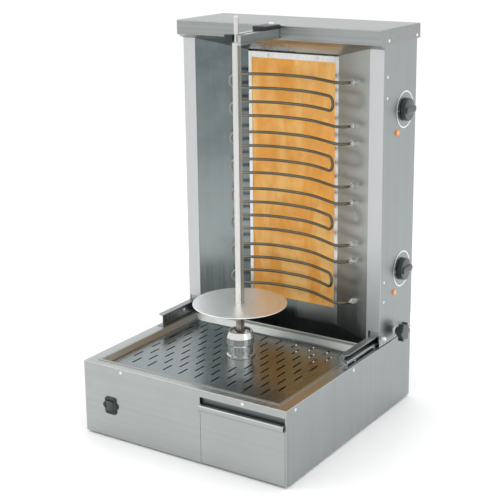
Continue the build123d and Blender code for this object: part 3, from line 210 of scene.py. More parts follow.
@once
def smudges():
    """Cloudy variation left by handling and wiping."""
    tree, web, given, out = new_group(
        "smudges",
        "ShaderNodeTree",
        [("Scale", FLOAT, 9.0), ("Contrast", FLOAT, 0.5)],
        [("Value", FLOAT)],
    )
    cloud = web.noise(web.place(), given["Scale"], detail=6.0, roughness=0.6, distortion=0.6)
    centred = web.math("SUBTRACT", cloud, 0.5)
    scaled = web.math("MULTIPLY", centred, given["Contrast"])
    tree.links.new(web.math("ADD", scaled, 0.5, clamp=True), out["Value"])
    return tree


@once
def hairline_scratches():
    """A few long thin scratches, white on black."""
    tree, web, given, out = new_group(
        "hairline_scratches",
        "ShaderNodeTree",
        [("Density", FLOAT, 30.0), ("Angle", FLOAT, 0.4)],
        [("Mask", FLOAT)],
    )
    turned = web.add("ShaderNodeVectorRotate", {"Vector": web.place(), "Angle": given["Angle"]}).outputs[0]
    bent = web.vector("MULTIPLY", turned, (0.12, 1.0, 1.0))[0]
    cells = web.add(
        "ShaderNodeTexVoronoi", {"Vector": bent, "Scale": given["Density"]}, feature="DISTANCE_TO_EDGE"
    ).outputs[0]
    lines = web.ramp(cells, 0.0, 0.012, 1.0, 0.0)
    patches = web.noise(web.place(), 11.0)
    tree.links.new(web.math("MULTIPLY", lines, web.ramp(patches, 0.52, 0.66)), out["Mask"])
    return tree


@once
def fat_stain():
    """Brown film of burnt fat, thickest near Centre and broken up by drops."""
    tree, web, given, out = new_group(
        "fat_stain",
        "ShaderNodeTree",
        [("Centre", VECTOR, (0, 0, 0)), ("Reach", FLOAT, 0.12), ("Amount", FLOAT, 0.5)],
        [("Mask", FLOAT)],
    )
    offset = web.vector("SUBTRACT", web.place(), given["Centre"])[0]
    distance = web.vector("LENGTH", offset)[1]
    near = web.math("SUBTRACT", 1.0, web.math("DIVIDE", distance, given["Reach"]), clamp=True)
    film = web.noise(web.place(), 26.0, detail=7.0, roughness=0.68)
    broken = web.math("MULTIPLY", near, web.ramp(film, 0.35, 0.7))
    tree.links.new(web.math("MULTIPLY", broken, given["Amount"], clamp=True), out["Mask"])
    return tree


@once
def moulded_skin():
    """Fine orange-peel surface of moulded plastic and rubber."""
    tree, web, given, out = new_group(
        "moulded_skin",
        "ShaderNodeTree",
        [("Scale", FLOAT, 900.0)],
        [("Height", FLOAT), ("Patch", FLOAT)],
    )
    skin = web.noise(web.place(), given["Scale"], detail=3.0)
    patch = web.noise(web.place(), 60.0, detail=4.0)
    tree.links.new(skin, out["Height"])
    tree.links.new(web.ramp(patch, 0.35, 0.65), out["Patch"])
    return tree


# ------------------------------------------------------------------ material helpers
def new_material(name):
    """An empty material, its web and its Principled BSDF."""
    material = bpy.data.materials.new(name)
    material.use_nodes = True
    web = Web(material.node_tree)
    return material, web, material.node_tree.nodes["Principled BSDF"]


def shade(colour, factor):
    """A colour made darker or lighter."""
    return tuple(min(1.0, part * factor) for part in colour)


def use(web, group, **values):
    """Place a shader node group; underscores in the names stand for spaces."""
    node = web.add("ShaderNodeGroup", node_tree=group)
    for key, value in values.items():
        socket = node.inputs[key.replace("_", " ")]
        if isinstance(value, NodeSocket):
            web.tree.links.new(value, socket)
        else:
            socket.default_value = value
    return node.outputs


def finish_surface(web, shader, colour, roughness, height=None, depth=0.0, metallic=0.0):
    """Feed colour, roughness and bump into the shader and set its metallic value."""
    links = web.tree.links
    links.new(colour, shader.inputs["Base Color"])
    links.new(roughness, shader.inputs["Roughness"])
    shader.inputs["Metallic"].default_value = metallic
    if height is not None:
        bump = web.add("ShaderNodeBump", {"Height": height, "Strength": 1.0, "Distance": depth})
        links.new(bump.outputs[0], shader.inputs["Normal"])


def steel(name, colour, along, roughness, streak=0.07, smudge=0.35, bump=0.00002, tint=None, scratches=0.0):
    """Brushed sheet steel.  tint may change the colour and roughness before they reach the shader."""
    material, web, shader = new_material(name)
    grain = use(web, straight_grain(), Along=along)
    cloud = use(web, smudges(), Contrast=smudge)["Value"]
    tone = web.blend(grain["Streak"], shade(colour, 1 - streak), shade(colour, 1 + streak))
    cloudy = web.ramp(cloud, 0.25, 0.75, 0.9, 1.06)
    grey = web.add("ShaderNodeCombineColor", {0: cloudy, 1: cloudy, 2: cloudy}).outputs[0]
    tone = web.blend(1.0, tone, grey, "MULTIPLY")
    rough = web.math("MULTIPLY_ADD", web.math("SUBTRACT", cloud, 0.5), 0.35, roughness)
    rough = web.math("MULTIPLY_ADD", web.math("SUBTRACT", grain["Streak"], 0.5), 0.08, rough, clamp=True)
    if scratches:
        lines = web.math("MULTIPLY", use(web, hairline_scratches())["Mask"], scratches)
        tone = web.blend(lines, tone, shade(colour, 1.35))
        rough = web.math("MULTIPLY_ADD", lines, -0.12, rough, clamp=True)
    if tint is not None:
        tone, rough = tint(web, tone, rough)
    finish_surface(web, shader, tone, rough, grain["Height"], bump, metallic=1.0)
    return material


def turned_steel(name, colour, centre, roughness, pitch=700.0, bump=0.00003, tint=None):
    """Steel with lathe marks about an upright axis."""
    material, web, shader = new_material(name)
    grain = use(web, turned_grain(), Centre=centre, Pitch=pitch)
    cloud = use(web, smudges(), Scale=22.0, Contrast=0.5)["Value"]
    tone = web.blend(grain["Streak"], shade(colour, 0.9), shade(colour, 1.08))
    rough = web.math("MULTIPLY_ADD", web.math("SUBTRACT", cloud, 0.5), 0.3, roughness, clamp=True)
    if tint is not None:
        tone, rough = tint(web, tone, rough)
    finish_surface(web, shader, tone, rough, grain["Height"], bump, metallic=1.0)
    return material


def moulded(name, colour, roughness, scale=900.0, bump=0.00004, coat=0.0):
    """Moulded plastic or rubber with a slightly uneven skin."""
    material, web, shader = new_material(name)
    skin = use(web, moulded_skin(), Scale=scale)
    cloud = use(web, smudges(), Scale=40.0, Contrast=0.6)["Value"]
    tone = web.blend(skin["Patch"], shade(colour, 0.82), shade(colour, 1.22))
    rough = web.math("MULTIPLY_ADD", web.math("SUBTRACT", cloud, 0.5), 0.3, roughness, clamp=True)
    finish_surface(web, shader, tone, rough, skin["Height"], bump)
    shader.inputs["Coat Weight"].default_value = coat
    shader.inputs["Coat Roughness"].default_value = 0.18
    return material


def paint(nodes, material):
    """Give CAD nodes a material."""
    for name in nodes:
        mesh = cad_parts[name].data
        mesh.materials.clear()
        mesh.materials.append(material)


def link(name, mesh):
    """Put a mesh into the scene as an object."""
    piece = bpy.data.objects.new(name, mesh)
    bpy.context.scene.collection.objects.link(piece)
    return piece


def solids_of(node):
    """Boxes of the separate solids in a CAD node."""
    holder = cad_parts[node]
    work = bmesh.new()
    work.from_mesh(holder.data)
    work.transform(holder.matrix_world)
    bmesh.ops.remove_doubles(work, verts=work.verts, dist=1e-6)
    boxes = []
    seen = set()
    for start in work.verts:
        if start in seen:
            continue
        seen.add(start)
        queue = [start]
        island = []
        while queue:
            vert = queue.pop()
            island.append(vert.co.copy())
            others = [edge.other_vert(vert) for edge in vert.link_edges]
            fresh = [other for other in others if other not in seen]
            seen.update(fresh)
            queue.extend(fresh)
        low = Vector([min(place[axis] for place in island) for axis in range(3)])
        high = Vector([max(place[axis] for place in island) for axis in range(3)])
        boxes.append((low, high))
    work.free()
    return boxes


def softened(node, body, width, segments=3):
    """Stand a copy of a CAD node with rounded edges in its place."""
    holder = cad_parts[node]
    work = bmesh.new()
    work.from_mesh(holder.data)
    work.transform(holder.matrix_world)
    bmesh.ops.remove_doubles(work, verts=work.verts, dist=1e-6)
    bmesh.ops.dissolve_limit(work, angle_limit=radians(1.0), verts=work.verts, edges=work.edges)
    sharp = [edge for edge in work.edges if edge.calc_face_angle(0) > radians(38)]
    bmesh.ops.bevel(
        work, geom=sharp, offset=width, offset_type="OFFSET", segments=segments, profile=0.5, affect="EDGES",
        clamp_overlap=True,
    )
    bmesh.ops.triangulate(work, faces=[face for face in work.faces if len(face.verts) > 4])
    bmesh.ops.recalc_face_normals(work, faces=work.faces)
    for face in work.faces:
        face.smooth = True
    for edge in work.edges:
        edge.smooth = edge.calc_face_angle(0) < radians(32)
    mesh = bpy.data.meshes.new(f"{node}_soft")
    work.to_mesh(mesh)
    work.free()
    for material in holder.data.materials:
        mesh.materials.append(material)
    piece = link(f"{node}_soft", mesh)
    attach(piece, body)
    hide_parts(node)
    return piece


# ------------------------------------------------------------------ repeated heads
GEOMETRY, WHOLE, FINISH = "NodeSocketGeometry", "NodeSocketInt", "NodeSocketMaterial"


@once
def fastener_heads():
    """Screw, bolt, nut or rivet heads stood on points, each turned to its aim."""
    tree, web, given, out = new_group(
        "fastener_heads",
        "GeometryNodeTree",
        [
            ("Points", GEOMETRY, None),
            ("Radius", FLOAT, 0.004),
            ("Height", FLOAT, 0.0016),
            ("Sides", WHOLE, 24),
            ("Dome", FLOAT, 0.4),
            ("Recess", FLOAT, 0.0),
            ("Bore", FLOAT, 0.0),
            ("Twist", FLOAT, 3.0),
            ("Seed", WHOLE, 7),
            ("Finish", FINISH, None),
        ],
        [("Geometry", GEOMETRY)],
    )
    blank = web.add(
        "GeometryNodeMeshCylinder",
        {"Vertices": given["Sides"], "Side Segments": 6, "Radius": given["Radius"], "Depth": given["Height"]},
    ).outputs["Mesh"]
    place = web.add("GeometryNodeInputPosition").outputs[0]
    parts = web.add("ShaderNodeSeparateXYZ", {0: place}).outputs
    rise = web.math("ADD", web.math("DIVIDE", parts[2], given["Height"]), 0.5, clamp=True)
    narrowing = web.math("SUBTRACT", 1.0, web.math("MULTIPLY", web.math("POWER", rise, 3.0), given["Dome"]))
    lifted = web.math("MULTIPLY_ADD", given["Height"], 0.5, parts[2])
    shaped = {
        0: web.math("MULTIPLY", parts[0], narrowing),
        1: web.math("MULTIPLY", parts[1], narrowing),
        2: lifted,
    }
    shaped_place = web.add("ShaderNodeCombineXYZ", shaped).outputs[0]
    head = web.add("GeometryNodeSetPosition", {"Geometry": blank, "Position": shaped_place}).outputs[0]
    long_side = web.math("MULTIPLY", given["Radius"], 1.15)
    short_side = web.math("MULTIPLY", given["Radius"], 0.24)
    cut_rise = web.math("MULTIPLY", given["Height"], web.math("SUBTRACT", 1.52, given["Recess"]))
    cutters = []
    for first, second in ((long_side, short_side), (short_side, long_side)):
        size = web.add("ShaderNodeCombineXYZ", {0: first, 1: second, 2: given["Height"]}).outputs[0]
        bar = web.add("GeometryNodeMeshCube", {"Size": size}).outputs["Mesh"]
        shift = web.add("ShaderNodeCombineXYZ", {2: cut_rise}).outputs[0]
        cutters.append(web.add("GeometryNodeTransform", {"Geometry": bar, "Translation": shift}).outputs[0])
    plugged = web.math("LESS_THAN", given["Bore"], 1e-5)
    drill_radius = web.math("MAXIMUM", given["Bore"], 0.001)
    drill_length = web.math("MULTIPLY", given["Height"], 4.0)
    drill = web.add(
        "GeometryNodeMeshCylinder", {"Vertices": 32, "Radius": drill_radius, "Depth": drill_length}
    ).outputs["Mesh"]
    aside = web.add("ShaderNodeCombineXYZ", {0: plugged}).outputs[0]
    cutters.append(web.add("GeometryNodeTransform", {"Geometry": drill, "Translation": aside}).outputs[0])
    cut = web.add("GeometryNodeMeshBoolean", {"Mesh 1": head}, operation="DIFFERENCE")
    for cutter in cutters:
        tree.links.new(cutter, cut.inputs["Mesh 2"])
    aim = web.add("GeometryNodeInputNamedAttribute", {"Name": "aim"}, data_type="FLOAT_VECTOR").outputs[0]
    turned = web.add("FunctionNodeAlignRotationToVector", {"Vector": aim}, axis="Z").outputs[0]
    limits = {"Min": 0.0, "Max": given["Twist"], "Seed": given["Seed"]}
    spin = web.add("FunctionNodeRandomValue", limits, data_type="FLOAT")
    angle = next(socket for socket in spin.outputs if socket.enabled)
    twist = web.add("ShaderNodeCombineXYZ", {2: angle}).outputs[0]
    local = web.add("FunctionNodeEulerToRotation", {0: twist}).outputs[0]
    rotation = web.add("FunctionNodeRotateRotation", {0: turned, 1: local}, rotation_space="LOCAL").outputs[0]
    points = web.add("GeometryNodeMeshToPoints", {"Mesh": given["Points"]}).outputs[0]
    stand = {"Points": points, "Instance": cut.outputs["Mesh"], "Rotation": rotation}
    stood = web.add("GeometryNodeInstanceOnPoints", stand).outputs[0]
    real = web.add("GeometryNodeRealizeInstances", {"Geometry": stood}).outputs[0]
    done = web.add("GeometryNodeSetMaterial", {"Geometry": real, "Material": given["Finish"]}).outputs[0]
    tree.links.new(done, out["Geometry"])
    return tree


def stand_heads(seats, finish, **values):
    """Heads on (place, aim) seats as a plain mesh."""
    mesh = bpy.data.meshes.new("seats")
    mesh.from_pydata([place for place, aim in seats], [], [])
    aims = mesh.attributes.new("aim", "FLOAT_VECTOR", "POINT")
    for number, (place, aim) in enumerate(seats):
        aims.data[number].vector = aim
    holder = link("seats", mesh)
    modifier = holder.modifiers.new("heads", "NODES")
    modifier.node_group = fastener_heads()
    values["Finish"] = finish
    for item in modifier.node_group.interface.items_tree:
        if item.item_type == "SOCKET" and item.in_out == "INPUT" and item.name in values:
            modifier[item.identifier] = values[item.name]
    holder.update_tag()
    seen = holder.evaluated_get(bpy.context.evaluated_depsgraph_get())
    made = bpy.data.meshes.new_from_object(seen)
    bpy.data.objects.remove(holder)
    bpy.data.meshes.remove(mesh)
    return made


def joined(name, meshes):
    """One object from several meshes that share a material."""
    work = bmesh.new()
    for mesh in meshes:
        work.from_mesh(mesh)
    bmesh.ops.recalc_face_normals(work, faces=work.faces)
    mesh = bpy.data.meshes.new(name)
    work.to_mesh(mesh)
    work.free()
    mesh.materials.append(meshes[0].materials[0])
    for used in meshes:
        bpy.data.meshes.remove(used)
    return link(name, mesh)


# ------------------------------------------------------------------ settings
def colour_value(name, description, default):
    """A colour that a user can change."""
    return FloatVectorProperty(name=name, description=description, subtype="COLOR", size=3, default=default)


class SteelSettings(PropertyGroup):
    """Colours and roughness of the sheet steel."""

    panel_colour: colour_value("Panel colour", "Brushed casing panels", (0.395, 0.415, 0.41))
    side_colour: colour_value("Side colour", "Side and back panels", (0.335, 0.36, 0.365))
    reflector_colour: colour_value("Reflector colour", "Bright liner sheets", (0.30, 0.335, 0.335))
    tray_colour: colour_value("Tray colour", "Drip tray and deck", (0.25, 0.285, 0.29))
    roughness: FloatProperty(
        name="Roughness", description="Roughness of the casing", subtype="FACTOR", min=0, max=1, default=0.36
    )
    fat_amount: FloatProperty(
        name="Fat stain",
        description="Brown film on the tray and spit",
        subtype="FACTOR",
        min=0,
        max=1,
        default=0.3,
    )


class HeaterSettings(PropertyGroup):
    """Colours of the heating bay."""

    board_colour: colour_value("Board colour", "Fired refractory board", (0.86, 0.38, 0.068))
    board_pale: colour_value("Board pale streaks", "Lighter streaks", (0.94, 0.56, 0.19))
    sheath_colour: colour_value("Sheath colour", "Oxidised tube", (0.13, 0.115, 0.078))


class PlasticSettings(PropertyGroup):
    """Colours of knobs, lamps and dials."""

    knob_colour: colour_value("Knob colour", "Phenolic knobs", (0.008, 0.015, 0.017))
    lamp_colour: colour_value("Lamp colour", "Pilot lamp lenses", (0.85, 0.30, 0.04))
    dial_colour: colour_value("Scale colour", "Printed dial ring", (0.85, 0.87, 0.85))


class StageSettings(PropertyGroup):
    """Camera, lights and floor."""

    camera_place: FloatVectorProperty(
        name="Camera", description="Camera position", subtype="XYZ", unit="LENGTH", size=3,
        default=(1.5538, -2.3724, 1.2718),
    )
    camera_target: FloatVectorProperty(
        name="Target", description="Point the camera looks at", subtype="XYZ", unit="LENGTH", size=3,
        default=(-0.0022, 0.0, 0.5363),
    )
    camera_roll: FloatProperty(
        name="Roll", description="Turn about the line of sight", subtype="ANGLE", default=radians(-0.633)
    )
    lens: FloatProperty(name="Lens", description="Focal length in millimetres", min=1, default=85.96)
    shift: FloatProperty(
        name="Shift", description="Upright shift of the lens, as a share of the frame", default=-0.08
    )
    sky: FloatProperty(name="Sky", description="Strength of the surrounding light", min=0, default=1.08)
    key: FloatProperty(
        name="Key light", description="Power of the key light", min=0, unit="POWER", default=34.0
    )
    floor_colour: colour_value("Floor", "Pale floor", (0.97, 0.97, 0.97))


# ------------------------------------------------------------------ operators
# brush marks per metre along X, Y and Z: the small number is the direction of the marks
MARKS_ACROSS = (7.0, 900.0, 1100.0)
MARKS_UPRIGHT = (900.0, 1100.0, 7.0)
MARKS_FRONT_TO_BACK = (900.0, 7.0, 900.0)


class ROTISSERIE_OT_casing(Operator):
    """Brushed steel for the casing, hood, tower and rails"""

    bl_idname = "rotisserie.casing"
    bl_label = "Casing steel"

    def execute(self, context):
        look = context.scene.rotisserie_steel
        smoother = look.roughness - 0.04
        panel = steel(
            "front_brushed", look.panel_colour, MARKS_ACROSS, look.roughness, streak=0.04, scratches=0.2,
            tint=self.trough_painted_shade,
        )
        side = steel("side_brushed", look.side_colour, MARKS_UPRIGHT, look.roughness, scratches=0.25)
        tower = steel(
            "tower_brushed", look.side_colour, MARKS_UPRIGHT, look.roughness, scratches=0.25,
            tint=self.strip_painted_light,
        )
        back = steel("back_brushed", look.side_colour, MARKS_UPRIGHT, look.roughness + 0.05)
        hood = steel("hood_brushed", shade(look.panel_colour, 0.8), MARKS_ACROSS, smoother, scratches=0.2)
        deck_colour = shade(look.panel_colour, 1.15)
        deck = steel("deck_satin", deck_colour, MARKS_FRONT_TO_BACK, smoother, scratches=0.3)
        rails = steel("rail_satin", shade(look.side_colour, 0.9), MARKS_FRONT_TO_BACK, 0.3)
        zinc = steel("zinc_plate", (0.40, 0.42, 0.42), (60.0, 60.0, 60.0), 0.42, streak=0.12, smudge=0.8)
        arm = steel("arm_satin", shade(look.panel_colour, 1.2), (900.0, 9.0, 900.0), 0.3)
        paint(["front_panel", "drawer_front"], panel)
        paint(["base_left_panel", "base_right_panel"], side)
        paint(["tower_left_panel", "tower_right_panel"], tower)
        paint(["base_back_panel", "tower_back_panel", "base_bottom_plate"], back)
        paint(["hood"], hood)
        paint(["top_deck"], deck)
        paint(["rail_left", "rail_right", "guide_rod"], rails)
        paint(["motor_bracket", "drawer_runners", "slide_shoes", "clamp_block", "tower_carriage"], zinc)
        paint(["top_arm", "arm_track"], arm)
        return {"FINISHED"}

    def trough_painted_shade(self, web, tone, rough):
        """The finger trough behind the drawer lip is painted darker than the front: painted shade in the
        recess. It is also made rougher.
        """
        inside = web.ramp(web.place_along(1), front_face + 0.0016, front_face + 0.003)
        return web.blend(inside, tone, (0.16, 0.185, 0.18)), web.math("MULTIPLY_ADD", inside, 0.1, rough)

    def strip_painted_light(self, web, tone, rough):
        """The narrow front strips of the tower are painted brighter than its sides: painted light on the
        front faces.
        """
        front = web.ramp(web.place_along(1), tower_low.y + 0.0016, tower_low.y + 0.0032, 1.0, 0.0)
        return web.blend(front, tone, (0.52, 0.53, 0.535)), web.math("MULTIPLY_ADD", front, 0.06, rough)


class ROTISSERIE_OT_heating_bay(Operator):
    """Reflectors, refractory board, elements and insulation"""

    bl_idname = "rotisserie.heating_bay"
    bl_label = "Heating bay"

    def execute(self, context):
        look = context.scene.rotisserie_steel
        heat = context.scene.rotisserie_heater

        # darker heat discolouration towards the hood, and painted light on the right liner
        def heat_tint_and_right_light(web, tone, rough):
            rise = web.ramp(web.place_along(2), board_low.z, hood_low.z)
            cloud = use(web, smudges(), Scale=5.0, Contrast=1.2)["Value"]
            share = web.math("MULTIPLY", rise, web.ramp(cloud, 0.2, 0.8, 0.5, 1.0))
            # painted light: the right liner is painted lighter than the left, and made rougher
            right = web.ramp(web.place_along(0), 0.0, 0.02)
            darker = web.blend(share, tone, (0.07, 0.095, 0.095))
            return web.blend(right, darker, (0.40, 0.42, 0.40)), web.math("MULTIPLY_ADD", right, 0.13, rough)

        liner = steel(
            "reflector_bright", look.reflector_colour, (700.0, 700.0, 6.0), 0.2, streak=0.05, tint=heat_tint_and_right_light,
            bump=0.000003,
        )
        strips = steel("strip_bright", (0.66, 0.66, 0.64), (900.0, 900.0, 8.0), 0.25)
        paint(["reflector_left", "reflector_right", "reflector_roof", "reflector_sill"], liner)
        paint(["panel_frame"], strips)
        self.board(heat)
        self.sheaths(heat)
        self.insulation()
        return {"FINISHED"}

    def board(self, heat):
        """Fired board with pale upright streaks and pores."""
        material, web, shader = new_material("refractory_fired")
        long_patches = web.vector("MULTIPLY", web.place(), (16.0, 16.0, 5.0))[0]
        streaks = web.noise(long_patches, 1.0, detail=6.0, roughness=0.6, distortion=0.8)
        tone = web.blend(web.ramp(streaks, 0.4, 0.66), tuple(heat.board_colour), tuple(heat.board_pale))
        patches = web.noise(web.place(), 30.0, detail=5.0, roughness=0.6)
        tone = web.blend(web.ramp(patches, 0.5, 0.75, 0.0, 0.4), tone, shade(heat.board_colour, 0.7))
        grit = web.noise(web.place(), 700.0, detail=4.0)
        pores = web.add("ShaderNodeTexVoronoi", {"Vector": web.place(), "Scale": 420.0}).outputs[0]
        tone = web.blend(web.ramp(pores, 0.0, 0.2, 0.35, 0.0), tone, shade(heat.board_colour, 0.45))
        rough = web.ramp(grit, 0.3, 0.7, 0.78, 0.95)
        height = web.math("ADD", grit, web.ramp(pores, 0.0, 0.3))
        finish_surface(web, shader, tone, rough, height, 0.0004)
        paint(["refractory_panel"], material)

    def sheaths(self, heat):
        """Oxidised tube: olive brown, greyer towards the left bends."""
        material, web, shader = new_material("sheath_oxide")
        cloud = use(web, smudges(), Scale=34.0, Contrast=1.3)["Value"]
        left_bends = web.ramp(web.place_along(0), -0.155, -0.05, 0.75, 0.0)
        tone = web.blend(cloud, shade(heat.sheath_colour, 0.6), shade(heat.sheath_colour, 1.5))
        tone = web.blend(left_bends, tone, (0.30, 0.31, 0.30))
        scale = web.noise(web.place(), 500.0, detail=4.0)
        rough = web.ramp(cloud, 0.2, 0.8, 0.34, 0.55)
        finish_surface(web, shader, tone, rough, scale, 0.00008, metallic=0.75)
        paint([f"heating_element_{number}" for number in (1, 2, 3, 4)], material)

    def insulation(self):
        """Pale fibre board behind the liner."""
        material, web, shader = new_material("fibre_board")
        fibres = web.noise(web.place(), 160.0, detail=8.0, roughness=0.75)
        tone = web.blend(fibres, (0.62, 0.58, 0.48), (0.82, 0.79, 0.7))
        finish_surface(web, shader, tone, web.ramp(fibres, 0.2, 0.8, 0.85, 1.0), fibres, 0.0006)
        paint(["insulation_board"], material)


class ROTISSERIE_OT_tray_and_spit(Operator):
    """Drip tray, drawer, spit, disc and hub"""

    bl_idname = "rotisserie.tray_and_spit"
    bl_label = "Tray and spit"

    def execute(self, context):
        look = context.scene.rotisserie_steel
        stain_colour = (0.16, 0.085, 0.035)
        hub_foot = (spit_axis.x, spit_axis.y, tray_low.z)

        def stained(centre, reach, amount):
            def tint(web, tone, rough):
                film = use(web, fat_stain(), Centre=centre, Reach=reach, Amount=amount)["Mask"]
                duller = web.math("MULTIPLY_ADD", film, 0.2, rough, clamp=True)
                return web.blend(film, tone, stain_colour), duller

            return tint

        def stained_with_lit_rim(web, tone, rough):
            tone, rough = stained(hub_foot, 0.16, look.fat_amount)(web, tone, rough)
            # painted light: the tray walls and flange above the floor are painted lighter than the floor, and
            # made rougher
            lit_rim = web.ramp(web.place_along(2), tray_low.z + 0.003, tray_low.z + 0.006)
            return web.blend(lit_rim, tone, (0.40, 0.41, 0.39)), web.math("MULTIPLY_ADD", lit_rim, 0.2, rough)

        tray = steel(
            "tray_satin", look.tray_colour, (500.0, 9.0, 500.0), 0.24, streak=0.04,
            tint=stained_with_lit_rim, scratches=0.2, bump=0.000003,
        )
        pan = steel("drawer_satin", look.side_colour, (9.0, 500.0, 500.0), 0.32)
        axis = (spit_axis.x, spit_axis.y, 0.0)
        disc = turned_steel("disc_satin", (0.92, 0.94, 0.935), axis, 0.40, pitch=600.0, bump=0.000004)
        hub_top = (spit_axis.x, spit_axis.y, hub_high.z + 0.01)
        hub = turned_steel("hub_polished", (0.66, 0.66, 0.64), axis, 0.14, tint=stained(hub_top, 0.035, 0.9))
        spit_foot = (spit_axis.x, spit_axis.y, (hub_high.z + disc_low.z) / 2)
        spit_stain = stained(spit_foot, 0.075, 1.3)
        spit = steel("spit_ground", (0.60, 0.60, 0.585), (700.0, 700.0, 9.0), 0.3, tint=spit_stain)
        paint(["drip_tray"], tray)
        paint(["grease_drawer"], pan)
        # the funnel seen through the tray slots is painted near black: painted shade under the tray, over a
        # greasy film
        funnel = steel("funnel_shade_and_grease", (0.05, 0.052, 0.048), (9.0, 500.0, 500.0), 0.5)
        paint(["grease_funnel"], funnel)
        paint(["meat_disc"], disc)
        paint(["spit_hub"], hub)
        paint(["spit_bar", "disc_pin", "drive_shaft"], spit)
        return {"FINISHED"}


class ROTISSERIE_OT_machinery(Operator):
    """Motor, gearbox, bearing and switchgear inside the casing"""

    bl_idname = "rotisserie.machinery"
    bl_label = "Machinery"

    def execute(self, context):
        casting, web, shader = new_material("gear_casting")
        grit = web.noise(web.place(), 420.0, detail=5.0)
        cloud = use(web, smudges(), Scale=18.0, Contrast=0.9)["Value"]
        tone = web.blend(cloud, (0.30, 0.31, 0.32), (0.46, 0.47, 0.48))
        finish_surface(web, shader, tone, web.ramp(grit, 0.3, 0.7, 0.42, 0.6), grit, 0.0002, metallic=0.9)
        paint(["gearbox"], casting)
        paint(["drive_motor"], moulded("motor_enamel", (0.03, 0.035, 0.04), 0.4, scale=300.0, coat=0.5))
        bronze = turned_steel("bearing_bronze", (0.42, 0.24, 0.09), (spit_axis.x, spit_axis.y, 0.0), 0.35)
        paint(["shaft_bearing"], bronze)
        paint(["energy_regulators", "terminal_block"], moulded("cream_phenolic", (0.55, 0.50, 0.36), 0.5))
        paint(["feet"], moulded("foot_rubber", (0.018, 0.018, 0.018), 0.75, scale=500.0, bump=0.0001))
        return {"FINISHED"}


# printed ring and index mark of a dial, in metres from the knob's axis
RING_INNER, RING_OUTER, RING_EDGE = 0.0424, 0.0460, 0.0004
MARK_FAR, MARK_NEAR = -0.0415, -0.0315
MARK_HALF_WIDTH, MARK_EDGE = 0.0012, 0.0003


class ROTISSERIE_OT_controls(Operator):
    """Knobs, dials, lamps, switch, jaw and guide block"""

    bl_idname = "rotisserie.controls"
    bl_label = "Controls"

    def execute(self, context):
        look = context.scene.rotisserie_plastic
        knob = moulded("knob_phenolic", look.knob_colour, 0.26, coat=0.4)
        block = moulded("block_black", shade(look.knob_colour, 0.9), 0.42, scale=600.0)
        paint(["knob_upper", "knob_lower", "clamp_knob", "switch_rocker"], knob)
        paint(["bearing_jaw", "arm_guide_block", "cable_gland", "switch_bezel"], block)
        bright = steel("bright_zinc", (0.74, 0.74, 0.73), (90.0, 90.0, 90.0), 0.16, streak=0.1, smudge=0.6)
        paint(["element_fittings", "base_fasteners", "tower_fasteners", "hub_bolts"], bright)
        self.lamps(look)
        self.dials(context, look)
        return {"FINISHED"}

    def lamps(self, look):
        """Amber lenses, brighter in the middle."""
        material, web, shader = new_material("lamp_amber")
        cells = web.add("ShaderNodeTexVoronoi", {"Vector": web.place(), "Scale": 700.0}).outputs[0]
        bright, dim = shade(look.lamp_colour, 1.15), shade(look.lamp_colour, 0.8)
        tone = web.blend(web.ramp(cells, 0.0, 0.6), bright, dim)
        finish_surface(web, shader, tone, web.ramp(cells, 0.0, 0.6, 0.12, 0.25), cells, 0.0002)
        web.tree.links.new(tone, shader.inputs["Emission Color"])
        shader.inputs["Emission Strength"].default_value = 0.25
        shader.inputs["Coat Weight"].default_value = 0.6
        paint(["pilot_lamps"], material)

    def dials(self, context, look):
        """Steel dial plates with one printed ring each."""
        steel_look = context.scene.rotisserie_steel

        def printed_ring(web, tone, rough):
            place = web.place()
            rings = None
            for node in ("knob_upper", "knob_lower"):
                centre = middle(node)
                offset = web.vector("SUBTRACT", place, tuple(centre))[0]
                radius = web.vector("LENGTH", web.vector("MULTIPLY", offset, (0, 1, 1))[0])[1]
                inside = web.ramp(radius, RING_OUTER, RING_OUTER + RING_EDGE, 1.0, 0.0)
                outside = web.ramp(radius, RING_INNER, RING_INNER + RING_EDGE)
                ring = web.math("MULTIPLY", inside, outside)
                rings = ring if rings is None else web.math("MAXIMUM", rings, ring)
                parts = web.add("ShaderNodeSeparateXYZ", {0: offset}).outputs
                off_line = web.math("ABSOLUTE", parts[2])
                beside = web.ramp(off_line, MARK_HALF_WIDTH, MARK_HALF_WIDTH + MARK_EDGE, 1.0, 0.0)
                mark_start = web.ramp(parts[1], MARK_FAR, MARK_FAR + RING_EDGE)
                mark_end = web.ramp(parts[1], MARK_NEAR, MARK_NEAR + RING_EDGE, 1.0, 0.0)
                forward = web.math("MULTIPLY", mark_start, mark_end)
                rings = web.math("MAXIMUM", rings, web.math("MULTIPLY", beside, forward))
            tone = web.blend(rings, tone, tuple(look.dial_colour))
            return tone, web.math("MULTIPLY_ADD", rings, 0.15, rough, clamp=True)

        plate = steel(
            "dial_printed", shade(steel_look.side_colour, 0.95), MARKS_UPRIGHT, 0.34, tint=printed_ring
        )
        paint(["dials"], plate)


# sizes of the heads, in metres; Dome and Recess are shares of the height and of the radius
SCREW_HEAD = {"Radius": 0.004, "Height": 0.0016, "Dome": 0.4, "Recess": 0.55}
RIVET_HEAD = {"Radius": 0.004, "Height": 0.0016, "Dome": 0.6}
SMALL_RIVET = {"Radius": 0.0035, "Height": 0.0013, "Dome": 0.6}
RAIL_BOLT = {"Radius": 0.0036, "Height": 0.0018, "Sides": 6, "Dome": 0.16, "Twist": 0.0}
SHOE_NUT = {"Radius": 0.0055, "Height": 0.005, "Sides": 6, "Dome": 0.14, "Twist": 0.0}
CLAMP_NUT = {"Radius": 0.009, "Height": 0.0048, "Dome": 0.1, "Bore": 0.0045}
ARM_SCREW = {"Radius": 0.0065, "Height": 0.005, "Dome": 0.25, "Recess": 0.5}
STUD = {"Radius": 0.003, "Sides": 16, "Dome": 0.2}
STUD_FRONT = 0.0105
STUD_REAR_CLAMP_SIDE = 0.0208
STUD_REAR_OTHER_SIDE = 0.0068
SHOE_NUT_STAND_OFF = 0.005


